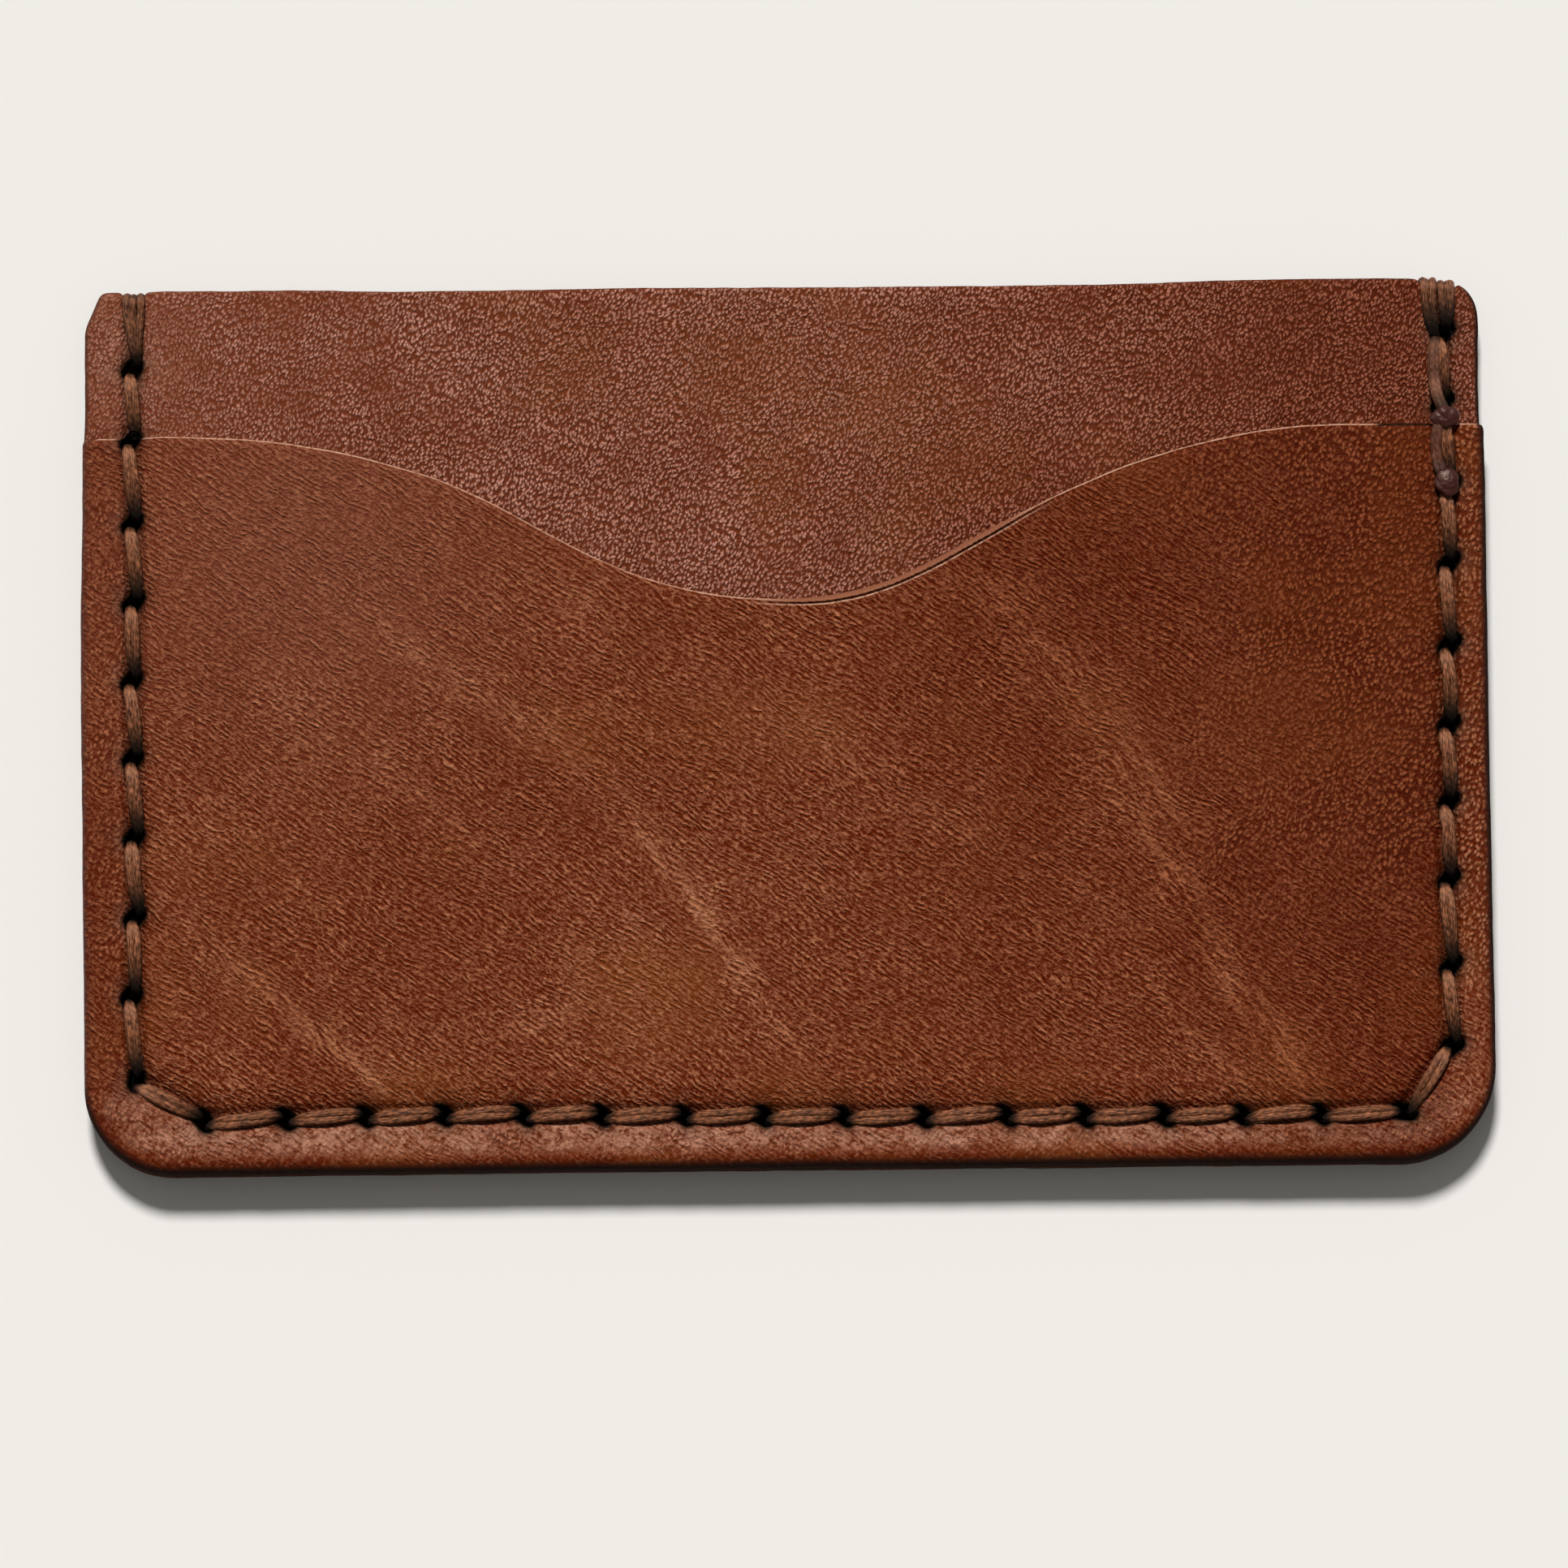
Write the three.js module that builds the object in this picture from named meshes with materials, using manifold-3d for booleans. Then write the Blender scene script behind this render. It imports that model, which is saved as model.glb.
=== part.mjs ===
// Slim card holder: three layers of 1.3 mm leather, saddle-stitched along both
// sides and the bottom with one waxed thread worked with two needles.
//
// Frame: millimetres, +Z up. The holder lies on its back: +Z is the front face,
// +X runs to the right along the long side, +Y points at the mouth where cards go in.
// The origin is the centre of the footprint, on the surface the back rests on.

import * as THREE from 'three';
import * as BufferGeometryUtils from 'three/addons/utils/BufferGeometryUtils.js';
import Module from 'manifold-3d';

const wasm = await Module();
wasm.setup();

// ---------------------------------------------------------------- dimensions
const LEATHER = 1.3;            // thickness of each layer
const RELIEF = 0.2;             // how far the pocket areas stand clear of the layer below
const BACK_Z = [0, LEATHER];
const MIDDLE_Z = [LEATHER, 2 * LEATHER];
const FRONT_Z = [2 * LEATHER, 3 * LEATHER];

const THREAD_R = 0.3;           // half the laid thread's thickness
const THREAD_SIDES = 6;
const GROOVE_HALF = 0.95;       // half the width of the stitching groove
const FRONT_GROOVE = 0.35;      // depth of the groove on the front
const BACK_GROOVE = 0.75;       // depth of the groove on the back, which hides the thread
const BACK_THREAD_Z = 0.38;     // centreline of the thread on the back
const ALONG = 0.45;             // the two threads sit this far before and after a hole's centre
const ASIDE = -0.42;            // and this far inside and outside the seam line
const AWL_HALF_LENGTH = 1.12;   // half the length of the slanted awl hole
const AWL_HALF_WIDTH = 0.5;
const WRAP_Y = 31.4;            // bottom of the notches that the thread wraps cut into the top edge

const CORNER_LEFT_R = 6.3;
const CORNER_RIGHT_R = 6.8;
const BOTTOM_Y = -31.3;
const LEFT_X = -50.0;
const RIGHT_X = 49.75;

// Awl holes, hand punched at about 5.6 mm: down the left side, along the bottom, up the right side.
const LEFT_HOLES = [
  [-46.42, 26.53], [-46.48, 21.19], [-46.36, 15.22], [-46.3, 9.55], [-46.44, 3.9],
  [-46.36, -1.69], [-46.3, -7.32], [-46.25, -13.0], [-46.5, -18.66], [-46.2, -24.6],
];
const BOTTOM_HOLES = [
  [-41.49, -27.5], [-35.76, -27.44], [-30.14, -27.33], [-24.58, -27.3], [-18.97, -27.34],
  [-13.47, -27.42], [-7.63, -27.52], [-2.02, -27.6], [3.65, -27.68], [9.27, -27.78],
  [15.11, -27.74], [20.61, -27.8], [26.22, -27.83], [31.78, -27.9], [37.28, -27.88], [43.2, -27.75],
];
const RIGHT_HOLES = [
  [46.65, -23.09], [46.6, -17.49], [46.58, -11.29], [46.69, -5.73], [46.79, -0.21],
  [46.94, 5.5], [47.0, 11.39], [47.12, 16.94], [46.85, 23.1], [46.98, 28.2],
];
const HOLES = [...LEFT_HOLES, ...BOTTOM_HOLES, ...RIGHT_HOLES].map((p) => new THREE.Vector2(...p));
const LAST = HOLES.length - 1;
const SEAM_START = new THREE.Vector2(-46.4, 34);
const SEAM_END = new THREE.Vector2(47.0, 34);

// Mouth of the front pocket: a shoulder at each side and one deep swoop between them.
const SWOOP = [
  [49.78, 21.4], [45.2, 21.4], [42.3, 21.4], [38.28, 21.38], [34.81, 21.12], [31.34, 20.54],
  [27.86, 19.7], [24.38, 18.63], [20.9, 17.21], [17.41, 15.6], [13.93, 13.85], [10.45, 11.98],
  [6.97, 10.41], [3.5, 9.57], [0.04, 9.27], [-3.41, 9.41], [-6.87, 9.95], [-10.31, 10.95],
  [-13.76, 12.4], [-17.2, 14.26], [-20.65, 16.2], [-24.1, 17.84], [-27.56, 19.0], [-31.01, 19.95],
  [-34.48, 20.62], [-37.94, 21.08], [-41.4, 21.28], [-44.86, 21.36], [-50.05, 21.32],
];

// Sides of the panels, bottom to top. The front pocket stands slightly proud of the tall panels.
const LEFT_SIDE = [[-50.0, -24.9], [-50.05, -16], [-50.12, -7.5], [-50.2, 2.95], [-50.18, 9], [-50.08, 16], [-50.05, 21.32]];
const RIGHT_SIDE = [[49.75, -24.4], [49.76, -16], [49.74, -5], [49.76, 6.5], [49.8, 15.9], [49.78, 21.4]];
const TALL_LEFT_TOP = [[-49.93, 23], [-49.93, 27], [-49.92, 29.5], [-48.8, 31.98]];
const TALL_TOP = [[-40, 31.95], [-20, 31.9], [0, 31.88], [20, 31.9], [40, 31.98]];
const TALL_RIGHT_TOP = [
  [47.4, 31.92], [48.3, 31.62], [48.95, 31.1], [49.4, 30.3], [49.55, 29.3], [49.5, 26], [49.52, 22.6],
];

// ------------------------------------------------------------------- helpers
function shapeOf(points) {
  return new THREE.Shape(points.map((p) => (p.isVector2 ? p : new THREE.Vector2(p[0], p[1]))));
}

function slab(points, z0, z1) {
  const g = new THREE.ExtrudeGeometry(shapeOf(points), { depth: z1 - z0, bevelEnabled: false, steps: 1 });
  g.translate(0, 0, z0);
  return g;
}

function toSolid(geometry) {
  const g = geometry.index ? geometry.toNonIndexed() : geometry.clone();
  g.deleteAttribute('normal');
  g.deleteAttribute('uv');
  const merged = BufferGeometryUtils.mergeVertices(g, 1e-4);
  const mesh = new wasm.Mesh({
    numProp: 3,
    vertProperties: Float32Array.from(merged.attributes.position.array),
    triVerts: Uint32Array.from(merged.index.array),
  });
  mesh.merge();
  return new wasm.Manifold(mesh);
}

function toGeometry(solid) {
  const mesh = solid.getMesh();
  const g = new THREE.BufferGeometry();
  const position = new Float32Array(mesh.numVert * 3);
  for (let i = 0; i < mesh.numVert; i++) {
    for (let k = 0; k < 3; k++) position[i * 3 + k] = mesh.vertProperties[i * mesh.numProp + k];
  }
  g.setAttribute('position', new THREE.BufferAttribute(position, 3));
  g.setIndex(new THREE.BufferAttribute(Uint32Array.from(mesh.triVerts), 1));
  g.computeVertexNormals();
  return g;
}

function arc(cx, cy, r, from, to, n) {
  const out = [];
  for (let i = 0; i <= n; i++) {
    const a = THREE.MathUtils.degToRad(from + ((to - from) * i) / n);
    out.push([cx + r * Math.cos(a), cy + r * Math.sin(a)]);
  }
  return out;
}

// Direction of the seam at hole i (in stitching order), and the outward side of it.
function tangentAt(i) {
  const before = i === 0 ? SEAM_START : HOLES[i - 1];
  const after = i === LAST ? SEAM_END : HOLES[i + 1];
  return after.clone().sub(before).normalize();
}
function outwardOf(t) {
  return new THREE.Vector2(t.y, -t.x);
}

// ---------------------------------------------------------------- outlines
const bottomLeft = arc(LEFT_X + CORNER_LEFT_R, BOTTOM_Y + CORNER_LEFT_R, CORNER_LEFT_R, 180, 270, 8);
const bottomRight = arc(RIGHT_X - CORNER_RIGHT_R, BOTTOM_Y + CORNER_RIGHT_R, CORNER_RIGHT_R, 270, 360, 8);

// Counter-clockwise from the bottom left corner.
const lowerEdge = [...bottomLeft, ...bottomRight];
const pocketOutline = [...lowerEdge, ...RIGHT_SIDE.slice(1, -1), ...SWOOP, ...LEFT_SIDE.slice(1, -1).reverse()];
const tallOutline = [
  ...lowerEdge,
  ...RIGHT_SIDE.slice(1, -1).map(([x, y]) => [x - 0.12, y]),
  ...TALL_RIGHT_TOP.slice().reverse(),
  ...TALL_TOP.slice().reverse(),
  ...TALL_LEFT_TOP.slice().reverse(),
  ...LEFT_SIDE.slice(1, -1).reverse().map(([x, y]) => [x + 0.04, y]),
];

// Area inside the stitching where each pocket stands clear; it runs out through the mouth.
function pocketArea(inset) {
  const x0 = -44.9 + inset;
  const x1 = 45.2 - inset;
  const y0 = -25.9 + inset;
  const r = 3.5;
  return [
    ...arc(x0 + r, y0 + r, r, 180, 270, 4),
    ...arc(x1 - r, y0 + r, r, 270, 360, 4),
    [x1, 40],
    [x0, 40],
  ];
}

// ---------------------------------------------------------- grooves and holes
function grooveSolid(z0, z1) {
  const line = [SEAM_START, ...HOLES, SEAM_END];
  const outer = [];
  const inner = [];
  line.forEach((p, i) => {
    const a = line[Math.max(0, i - 1)];
    const b = line[Math.min(line.length - 1, i + 1)];
    const n = outwardOf(b.clone().sub(a).normalize());
    // wider where the seam turns a corner, so the threads bend clear of its sides
    const arriving = p.clone().sub(a).normalize();
    const leaving = b.clone().sub(p).normalize();
    const turn = i === 0 || i === line.length - 1 ? 0 : Math.acos(Math.min(1, arriving.dot(leaving)));
    const w = GROOVE_HALF + (turn > 0.3 ? 0.5 : 0);
    outer.push([p.x + n.x * w, p.y + n.y * w]);
    inner.push([p.x - n.x * w, p.y - n.y * w]);
  });
  return toSolid(slab([...outer, ...inner.reverse()], z0, z1));
}

// Slanted diamond left by the awl, long enough for both threads side by side.
function awlHole(i) {
  const t = tangentAt(i);
  const n = outwardOf(t);
  const u = t.clone().multiplyScalar(-ALONG).addScaledVector(n, ASIDE).normalize();
  const v = new THREE.Vector2(-u.y, u.x);
  const L = AWL_HALF_LENGTH;
  const W = AWL_HALF_WIDTH;
  const k = 0.62;
  const corners = [[-L, -W * 0.35], [-L * k, -W], [L * k, -W], [L, -W * 0.35], [L, W * 0.35], [L * k, W], [-L * k, W], [-L, W * 0.35]];
  const at = corners.map(([a, b]) => [HOLES[i].x + u.x * a + v.x * b, HOLES[i].y + u.y * a + v.y * b]);
  return toSolid(slab(at, -1, 6));
}

let holes = awlHole(0);
for (let i = 1; i <= LAST; i++) holes = holes.add(awlHole(i));

const leftNotch = toSolid(slab([[-47.15, WRAP_Y], [-45.65, WRAP_Y], [-45.65, 34], [-47.15, 34]], -1, 5));
const rightNotch = toSolid(slab([[45.95, WRAP_Y], [48.05, WRAP_Y], [48.05, 34], [45.95, 34]], -1, 5));

// ------------------------------------------------------------------- panels
function panel(outline, z, relief) {
  let body = toSolid(slab(outline, z[0], z[1]));
  if (relief > 0) {
    const area = toSolid(slab(pocketArea(0), z[0] - 1, z[0] + relief));
    const raised = toSolid(slab(pocketArea(0.3 - relief), z[1] - 0.5, z[1] + relief));
    const cover = toSolid(slab(outline, z[0] - 0.5, z[1] + 1));
    body = body.subtract(area).add(raised.intersect(cover));
  }
  return body;
}

const backSolid = panel(tallOutline, BACK_Z, 0)
  .subtract(grooveSolid(-1, BACK_GROOVE))
  .subtract(holes)
  .subtract(leftNotch)
  .subtract(rightNotch);

const middleLift = RELIEF;
const middleSolid = (() => {
  const lifted = panel(tallOutline, MIDDLE_Z, middleLift);
  // the groove shows only above the pocket's shoulders
  const above = toSolid(slab([[-60, 21.0], [60, 21.0], [60, 40], [-60, 40]], 0, 6));
  const groove = grooveSolid(MIDDLE_Z[1] - FRONT_GROOVE, 6).intersect(above);
  return lifted.subtract(groove).subtract(holes).subtract(leftNotch).subtract(rightNotch);
})();

const frontSolid = (() => {
  let body = toSolid(slab(pocketOutline, FRONT_Z[0], FRONT_Z[1]));
  const clear = toSolid(slab(pocketArea(-0.35), FRONT_Z[0] - 1, FRONT_Z[0] + 2 * RELIEF));
  const raised = toSolid(slab(pocketArea(-0.1), FRONT_Z[1] - 0.4, FRONT_Z[1] + 2 * RELIEF));
  const cover = toSolid(slab(pocketOutline, FRONT_Z[0] - 0.5, FRONT_Z[1] + 1));
  body = body.subtract(clear).add(raised.intersect(cover));
  return body.subtract(grooveSolid(FRONT_Z[1] - FRONT_GROOVE, 6)).subtract(holes);
})();

// ------------------------------------------------------------------- threads
// A curve through exact points, one step of the tube for each.
class Route extends THREE.Curve {
  constructor(points) {
    super();
    this.points = points;
  }
  getPoint(t, target = new THREE.Vector3()) {
    const n = this.points.length - 1;
    const x = Math.min(n, Math.max(0, t * n));
    const i = Math.min(n - 1, Math.floor(x));
    return target.copy(this.points[i]).lerp(this.points[i + 1], x - i);
  }
  getUtoTmapping(u) {
    return u;
  }
  getTangent(t, target = new THREE.Vector3()) {
    const n = this.points.length - 1;
    const i = Math.round(t * n);
    const a = this.points[Math.max(0, i - 1)];
    const b = this.points[Math.min(n, i + 1)];
    return target.copy(b).sub(a).normalize();
  }
  getLength() {
    let sum = 0;
    for (let i = 1; i < this.points.length; i++) sum += this.points[i].distanceTo(this.points[i - 1]);
    return sum;
  }
}

function tube(points, radius = THREAD_R, sides = THREAD_SIDES) {
  const section = [];
  for (let k = 0; k < sides; k++) {
    const a = (2 * Math.PI * (k + 0.5)) / sides;
    section.push([radius * Math.cos(a), radius * Math.sin(a)]);
  }
  return new THREE.ExtrudeGeometry(shapeOf(section), {
    steps: points.length - 1,
    bevelEnabled: false,
    extrudePath: new Route(points),
  });
}

// Height of the thread on the front at a place on the seam.
const TALL_THREAD_Z = MIDDLE_Z[1];
const POCKET_THREAD_Z = FRONT_Z[1];
function frontHeight(i) {
  return i <= 0 || i >= LAST - 1 ? TALL_THREAD_Z : POCKET_THREAD_Z;
}

const v3 = (p, z) => new THREE.Vector3(p.x, p.y, z);
function offset(i, along, aside) {
  const t = tangentAt(i);
  const n = outwardOf(t);
  return HOLES[i].clone().addScaledVector(t, along).addScaledVector(n, aside);
}

// Front to back through the inner, earlier half of hole i.
function goingDown(i, zFront) {
  const zb = BACK_THREAD_Z;
  return [
    v3(offset(i, -ALONG - 0.8, ASIDE), zFront),
    v3(offset(i, -ALONG - 0.24, ASIDE), zFront - 0.05),
    v3(offset(i, -ALONG, ASIDE), zFront - 0.4),
    v3(offset(i, -ALONG, ASIDE), zb + 0.36),
    v3(offset(i, -ALONG + 0.22, ASIDE), zb + 0.05),
    v3(offset(i, -ALONG + 0.75, ASIDE), zb),
  ];
}
// Back to front through the outer, later half of hole i.
function comingUp(i, zFront) {
  const zb = BACK_THREAD_Z;
  return [
    v3(offset(i, ALONG - 0.75, -ASIDE), zb),
    v3(offset(i, ALONG - 0.22, -ASIDE), zb + 0.05),
    v3(offset(i, ALONG, -ASIDE), zb + 0.36),
    v3(offset(i, ALONG, -ASIDE), zFront - 0.4),
    v3(offset(i, ALONG + 0.24, -ASIDE), zFront - 0.05),
    v3(offset(i, ALONG + 0.8, -ASIDE), zFront),
  ];
}

// Half A lies on the front into even holes and on the back into odd ones; half B is the opposite.
function needle(firstDown) {
  const points = [];
  for (let i = 0; i <= LAST; i++) {
    const down = i % 2 === (firstDown ? 0 : 1);
    const arriving = i === 1 ? TALL_THREAD_Z : frontHeight(i);
    if (down) {
      if (i === LAST - 1) {
        // the stitch steps down off the pocket's shoulder before it reaches this hole
        points.push(v3(new THREE.Vector2(47.0, 20.2), POCKET_THREAD_Z));
        points.push(v3(new THREE.Vector2(46.8, 21.55), POCKET_THREAD_Z - 0.02));
        points.push(v3(new THREE.Vector2(46.6, 22.2), TALL_THREAD_Z + 0.62));
        const d = goingDown(i, TALL_THREAD_Z);
        points.push(...d.slice(2));
      } else {
        points.push(...goingDown(i, arriving));
      }
    } else {
      points.push(...comingUp(i, frontHeight(i)));
    }
  }
  return points;
}

const routeA = needle(true);
const routeB = needle(false);

// Over the top edge at the left, where both halves begin; 0.3 mm is left between them.
const overY = WRAP_Y + THREAD_R + 0.05;
routeA.unshift(
  new THREE.Vector3(-46.4, overY, 1.65),
  new THREE.Vector3(-46.4, overY, 2.15),
  new THREE.Vector3(-46.42, overY - 0.28, 2.56),
  new THREE.Vector3(-46.5, 30.4, TALL_THREAD_Z),
);
routeB.unshift(
  new THREE.Vector3(-46.4, overY, 1.35),
  new THREE.Vector3(-46.4, overY, 0.8),
  new THREE.Vector3(-46.38, overY - 0.28, BACK_THREAD_Z + 0.08),
  new THREE.Vector3(-46.75, 30.2, BACK_THREAD_Z),
);
// Over the top edge at the right: half A to the back on the outer side, half B to the front on the inner.
routeA.push(
  new THREE.Vector3(47.42, overY - 0.28, 2.58),
  new THREE.Vector3(47.42, overY, 2.15),
  new THREE.Vector3(47.42, overY, 0.82),
  new THREE.Vector3(47.42, overY - 0.28, BACK_THREAD_Z + 0.06),
  new THREE.Vector3(47.42, 29.9, BACK_THREAD_Z),
);
routeB.push(
  new THREE.Vector3(46.57, overY - 0.28, BACK_THREAD_Z + 0.06),
  new THREE.Vector3(46.57, overY, 0.82),
  new THREE.Vector3(46.57, overY, 2.15),
  new THREE.Vector3(46.57, overY - 0.28, 2.58),
  new THREE.Vector3(46.57, 29.6, TALL_THREAD_Z),
);

// Melted bead: a low dome with a flat underside.
function bead(x, y, z, rx, ry, h) {
  const profile = [new THREE.Vector2(0, 0), new THREE.Vector2(0.85, 0)];
  for (let k = 0; k <= 4; k++) {
    const a = (k / 5) * (Math.PI / 2);
    profile.push(new THREE.Vector2(Math.cos(a), 0.15 + 0.85 * Math.sin(a)));
  }
  profile.push(new THREE.Vector2(0, 1));
  const g = new THREE.LatheGeometry(profile, 14);
  g.rotateX(Math.PI / 2);
  g.scale(rx, ry, h);
  g.translate(x, y, z);
  return g;
}

const BEAD_Z = POCKET_THREAD_Z + THREAD_R + 0.05;
const upperTail = toSolid(tube([
  new THREE.Vector3(46.36, 25.0, TALL_THREAD_Z + 0.02),
  new THREE.Vector3(46.36, 24.3, TALL_THREAD_Z + 0.04),
  new THREE.Vector3(46.42, 23.7, TALL_THREAD_Z + 0.6),
  new THREE.Vector3(46.75, 22.9, BEAD_Z - 0.1),
  new THREE.Vector3(46.95, 22.2, BEAD_Z + 0.3),
  new THREE.Vector3(47.0, 21.8, BEAD_Z + 0.36),
])).add(toSolid(bead(47.05, 21.7, BEAD_Z, 1.15, 0.9, 0.75)));
const lowerTail = toSolid(tube([
  new THREE.Vector3(46.42, 19.6, POCKET_THREAD_Z),
  new THREE.Vector3(46.42, 18.9, POCKET_THREAD_Z),
  new THREE.Vector3(46.5, 18.1, POCKET_THREAD_Z + 0.35),
  new THREE.Vector3(46.8, 17.4, BEAD_Z + 0.36),
])).add(toSolid(bead(47.1, 17.0, BEAD_Z, 1.05, 1.15, 0.7)));

// ------------------------------------------------------------------ assembly
const LEATHER_COLOR = 0x6b3420;
const THREAD_COLOR = 0x3a2013;
const BEAD_COLOR = 0x24120c;

const group = new THREE.Group();
function add(name, geometry, color, roughness) {
  const material = new THREE.MeshStandardMaterial({ color, roughness, metalness: 0 });
  const mesh = new THREE.Mesh(geometry, material);
  mesh.name = name;
  group.add(mesh);
}

add('back_panel', toGeometry(backSolid), LEATHER_COLOR, 0.6);
add('middle_panel', toGeometry(middleSolid), LEATHER_COLOR, 0.55);
add('front_pocket', toGeometry(frontSolid), LEATHER_COLOR, 0.5);
add('saddle_thread_needle_a', toGeometry(toSolid(tube(routeA))), THREAD_COLOR, 0.6);
add('saddle_thread_needle_b', toGeometry(toSolid(tube(routeB))), THREAD_COLOR, 0.6);
add('backstitch_tail_upper', toGeometry(upperTail), BEAD_COLOR, 0.3);
add('backstitch_tail_lower', toGeometry(lowerTail), BEAD_COLOR, 0.3);

// Origin: centre of the footprint.
const box = new THREE.Box3().setFromObject(group);
group.position.set(-(box.min.x + box.max.x) / 2, -(box.min.y + box.max.y) / 2, -box.min.z);

export default group;
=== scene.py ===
import math

import bpy
import numpy as np
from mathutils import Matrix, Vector, kdtree
from mathutils.geometry import delaunay_2d_cdt


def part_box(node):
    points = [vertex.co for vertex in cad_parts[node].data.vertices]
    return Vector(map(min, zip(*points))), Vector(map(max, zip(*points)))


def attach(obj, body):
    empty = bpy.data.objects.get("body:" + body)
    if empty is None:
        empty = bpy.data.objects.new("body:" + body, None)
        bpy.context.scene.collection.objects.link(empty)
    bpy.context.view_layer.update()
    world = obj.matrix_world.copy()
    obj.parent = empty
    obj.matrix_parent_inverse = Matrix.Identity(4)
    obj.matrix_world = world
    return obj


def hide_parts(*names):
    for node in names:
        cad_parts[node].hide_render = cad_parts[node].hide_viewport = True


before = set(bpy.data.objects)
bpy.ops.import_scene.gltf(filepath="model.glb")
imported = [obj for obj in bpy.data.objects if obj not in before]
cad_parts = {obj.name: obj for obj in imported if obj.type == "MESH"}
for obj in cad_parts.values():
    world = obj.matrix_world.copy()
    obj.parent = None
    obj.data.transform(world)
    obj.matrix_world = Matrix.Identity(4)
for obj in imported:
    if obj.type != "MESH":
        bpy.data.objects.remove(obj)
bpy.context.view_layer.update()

# A slim card holder in three layers of leather, saddle-stitched with one waxed thread.
# Everything is worked out in millimetres in the drawing frame of the CAD part and
# then moved into the row frame, in metres.

MM = 0.001
_lo, _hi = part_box("front_pocket")
OFF = np.array([_lo.x * 1000 + 50.2, _lo.y * 1000 + 31.3, 0.0])

BACK_TOP = 1.3
MID_TOP = 2.6
POCKET_TOP = 3.9
RELIEF = 0.2

# ------------------------------------------------------------------ the drawing
LEFT_X, RIGHT_X, BOTTOM_Y = -50.0, 49.75, -31.3
R_LEFT, R_RIGHT = 6.3, 6.8

LEFT_HOLES = [
    (-46.42, 26.53), (-46.48, 21.19), (-46.36, 15.22), (-46.3, 9.55), (-46.44, 3.9),
    (-46.36, -1.69), (-46.3, -7.32), (-46.25, -13.0), (-46.5, -18.66), (-46.2, -24.6)]
BOTTOM_HOLES = [
    (-41.49, -27.5), (-35.76, -27.44), (-30.14, -27.33), (-24.58, -27.3), (-18.97, -27.34),
    (-13.47, -27.42), (-7.63, -27.52), (-2.02, -27.6), (3.65, -27.68), (9.27, -27.78),
    (15.11, -27.74), (20.61, -27.8), (26.22, -27.83), (31.78, -27.9), (37.28, -27.88), (43.2, -27.75)]
RIGHT_HOLES = [
    (46.65, -23.09), (46.6, -17.49), (46.58, -11.29), (46.69, -5.73), (46.79, -0.21),
    (46.94, 5.5), (47.0, 11.39), (47.12, 16.94), (46.85, 23.1), (46.98, 28.2)]
HOLES = np.array(LEFT_HOLES + BOTTOM_HOLES + RIGHT_HOLES)
SEAM = np.vstack([[(-46.4, 34.0)], HOLES, [(47.0, 34.0)]])
LAST = len(HOLES) - 1

SWOOP = [
    (49.78, 21.4), (45.2, 21.4), (42.3, 21.4), (38.28, 21.38), (34.81, 21.12), (31.34, 20.54),
    (27.86, 19.7), (24.38, 18.63), (20.9, 17.21), (17.41, 15.6), (13.93, 13.85), (10.45, 11.98),
    (6.97, 10.41), (3.5, 9.57), (0.04, 9.27), (-3.41, 9.41), (-6.87, 9.95), (-10.31, 10.95),
    (-13.76, 12.4), (-17.2, 14.26), (-20.65, 16.2), (-24.1, 17.84), (-27.56, 19.0), (-31.01, 19.95),
    (-34.48, 20.62), (-37.94, 21.08), (-41.4, 21.28), (-44.86, 21.36), (-50.05, 21.32)]
LEFT_SIDE = [(-50.0, -24.9), (-50.05, -16), (-50.12, -7.5), (-50.2, 2.95), (-50.18, 9), (-50.08, 16), (-50.05, 21.32)]
RIGHT_SIDE = [(49.75, -24.4), (49.76, -16), (49.74, -5), (49.76, 6.5), (49.8, 15.9), (49.78, 21.4)]
TALL_LEFT_TOP = [(-49.93, 23), (-49.93, 27), (-49.92, 29.35)]
CHAMFER = [(-49.92, 29.5), (-48.75, 32.16)]
TALL_TOP = [(-40, 32.12), (-36, 32.14), (-28, 31.98), (-20, 31.97), (-10, 32.06), (0, 31.96), (10, 31.93), (20, 31.94), (28, 32.05), (36, 32.18), (43, 32.16)]
TALL_RIGHT_TOP = [(47.4, 31.98), (48.3, 31.62), (48.95, 31.1), (49.4, 30.3), (49.55, 29.3), (49.5, 26), (49.52, 22.6)]

# the slit an awl leaves: from the inner, earlier side to the outer, later side
ALONG, ASIDE = 0.45, 0.36


# ------------------------------------------------------------------ small maths
def hash2(ix, iy, seed):
    h = (ix.astype(np.int64) * 374761393 + iy.astype(np.int64) * 668265263 + seed * 974634777) & 0xFFFFFFFF
    h = ((h ^ (h >> 13)) * 1274126177) & 0xFFFFFFFF
    return ((h ^ (h >> 16)) & 0xFFFFFF) / float(0xFFFFFF) * 2.0 - 1.0


def noise(x, y, seed):
    xi, yi = np.floor(x), np.floor(y)
    fx, fy = x - xi, y - yi
    ux = fx * fx * fx * (fx * (fx * 6 - 15) + 10)
    uy = fy * fy * fy * (fy * (fy * 6 - 15) + 10)
    a, b = hash2(xi, yi, seed), hash2(xi + 1, yi, seed)
    c, d = hash2(xi, yi + 1, seed), hash2(xi + 1, yi + 1, seed)
    return (a * (1 - ux) + b * ux) * (1 - uy) + (c * (1 - ux) + d * ux) * uy


def fbm(x, y, seed, octaves=3):
    x, y = np.asarray(x, float), np.asarray(y, float)
    s, amp, total = 0.0, 1.0, 0.0
    for k in range(octaves):
        s = s + amp * noise(x * 2 ** k + 17.3 * k, y * 2 ** k - 9.1 * k, seed + k * 7)
        total += amp
        amp *= 0.5
    return s / total * 1.6


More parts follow.
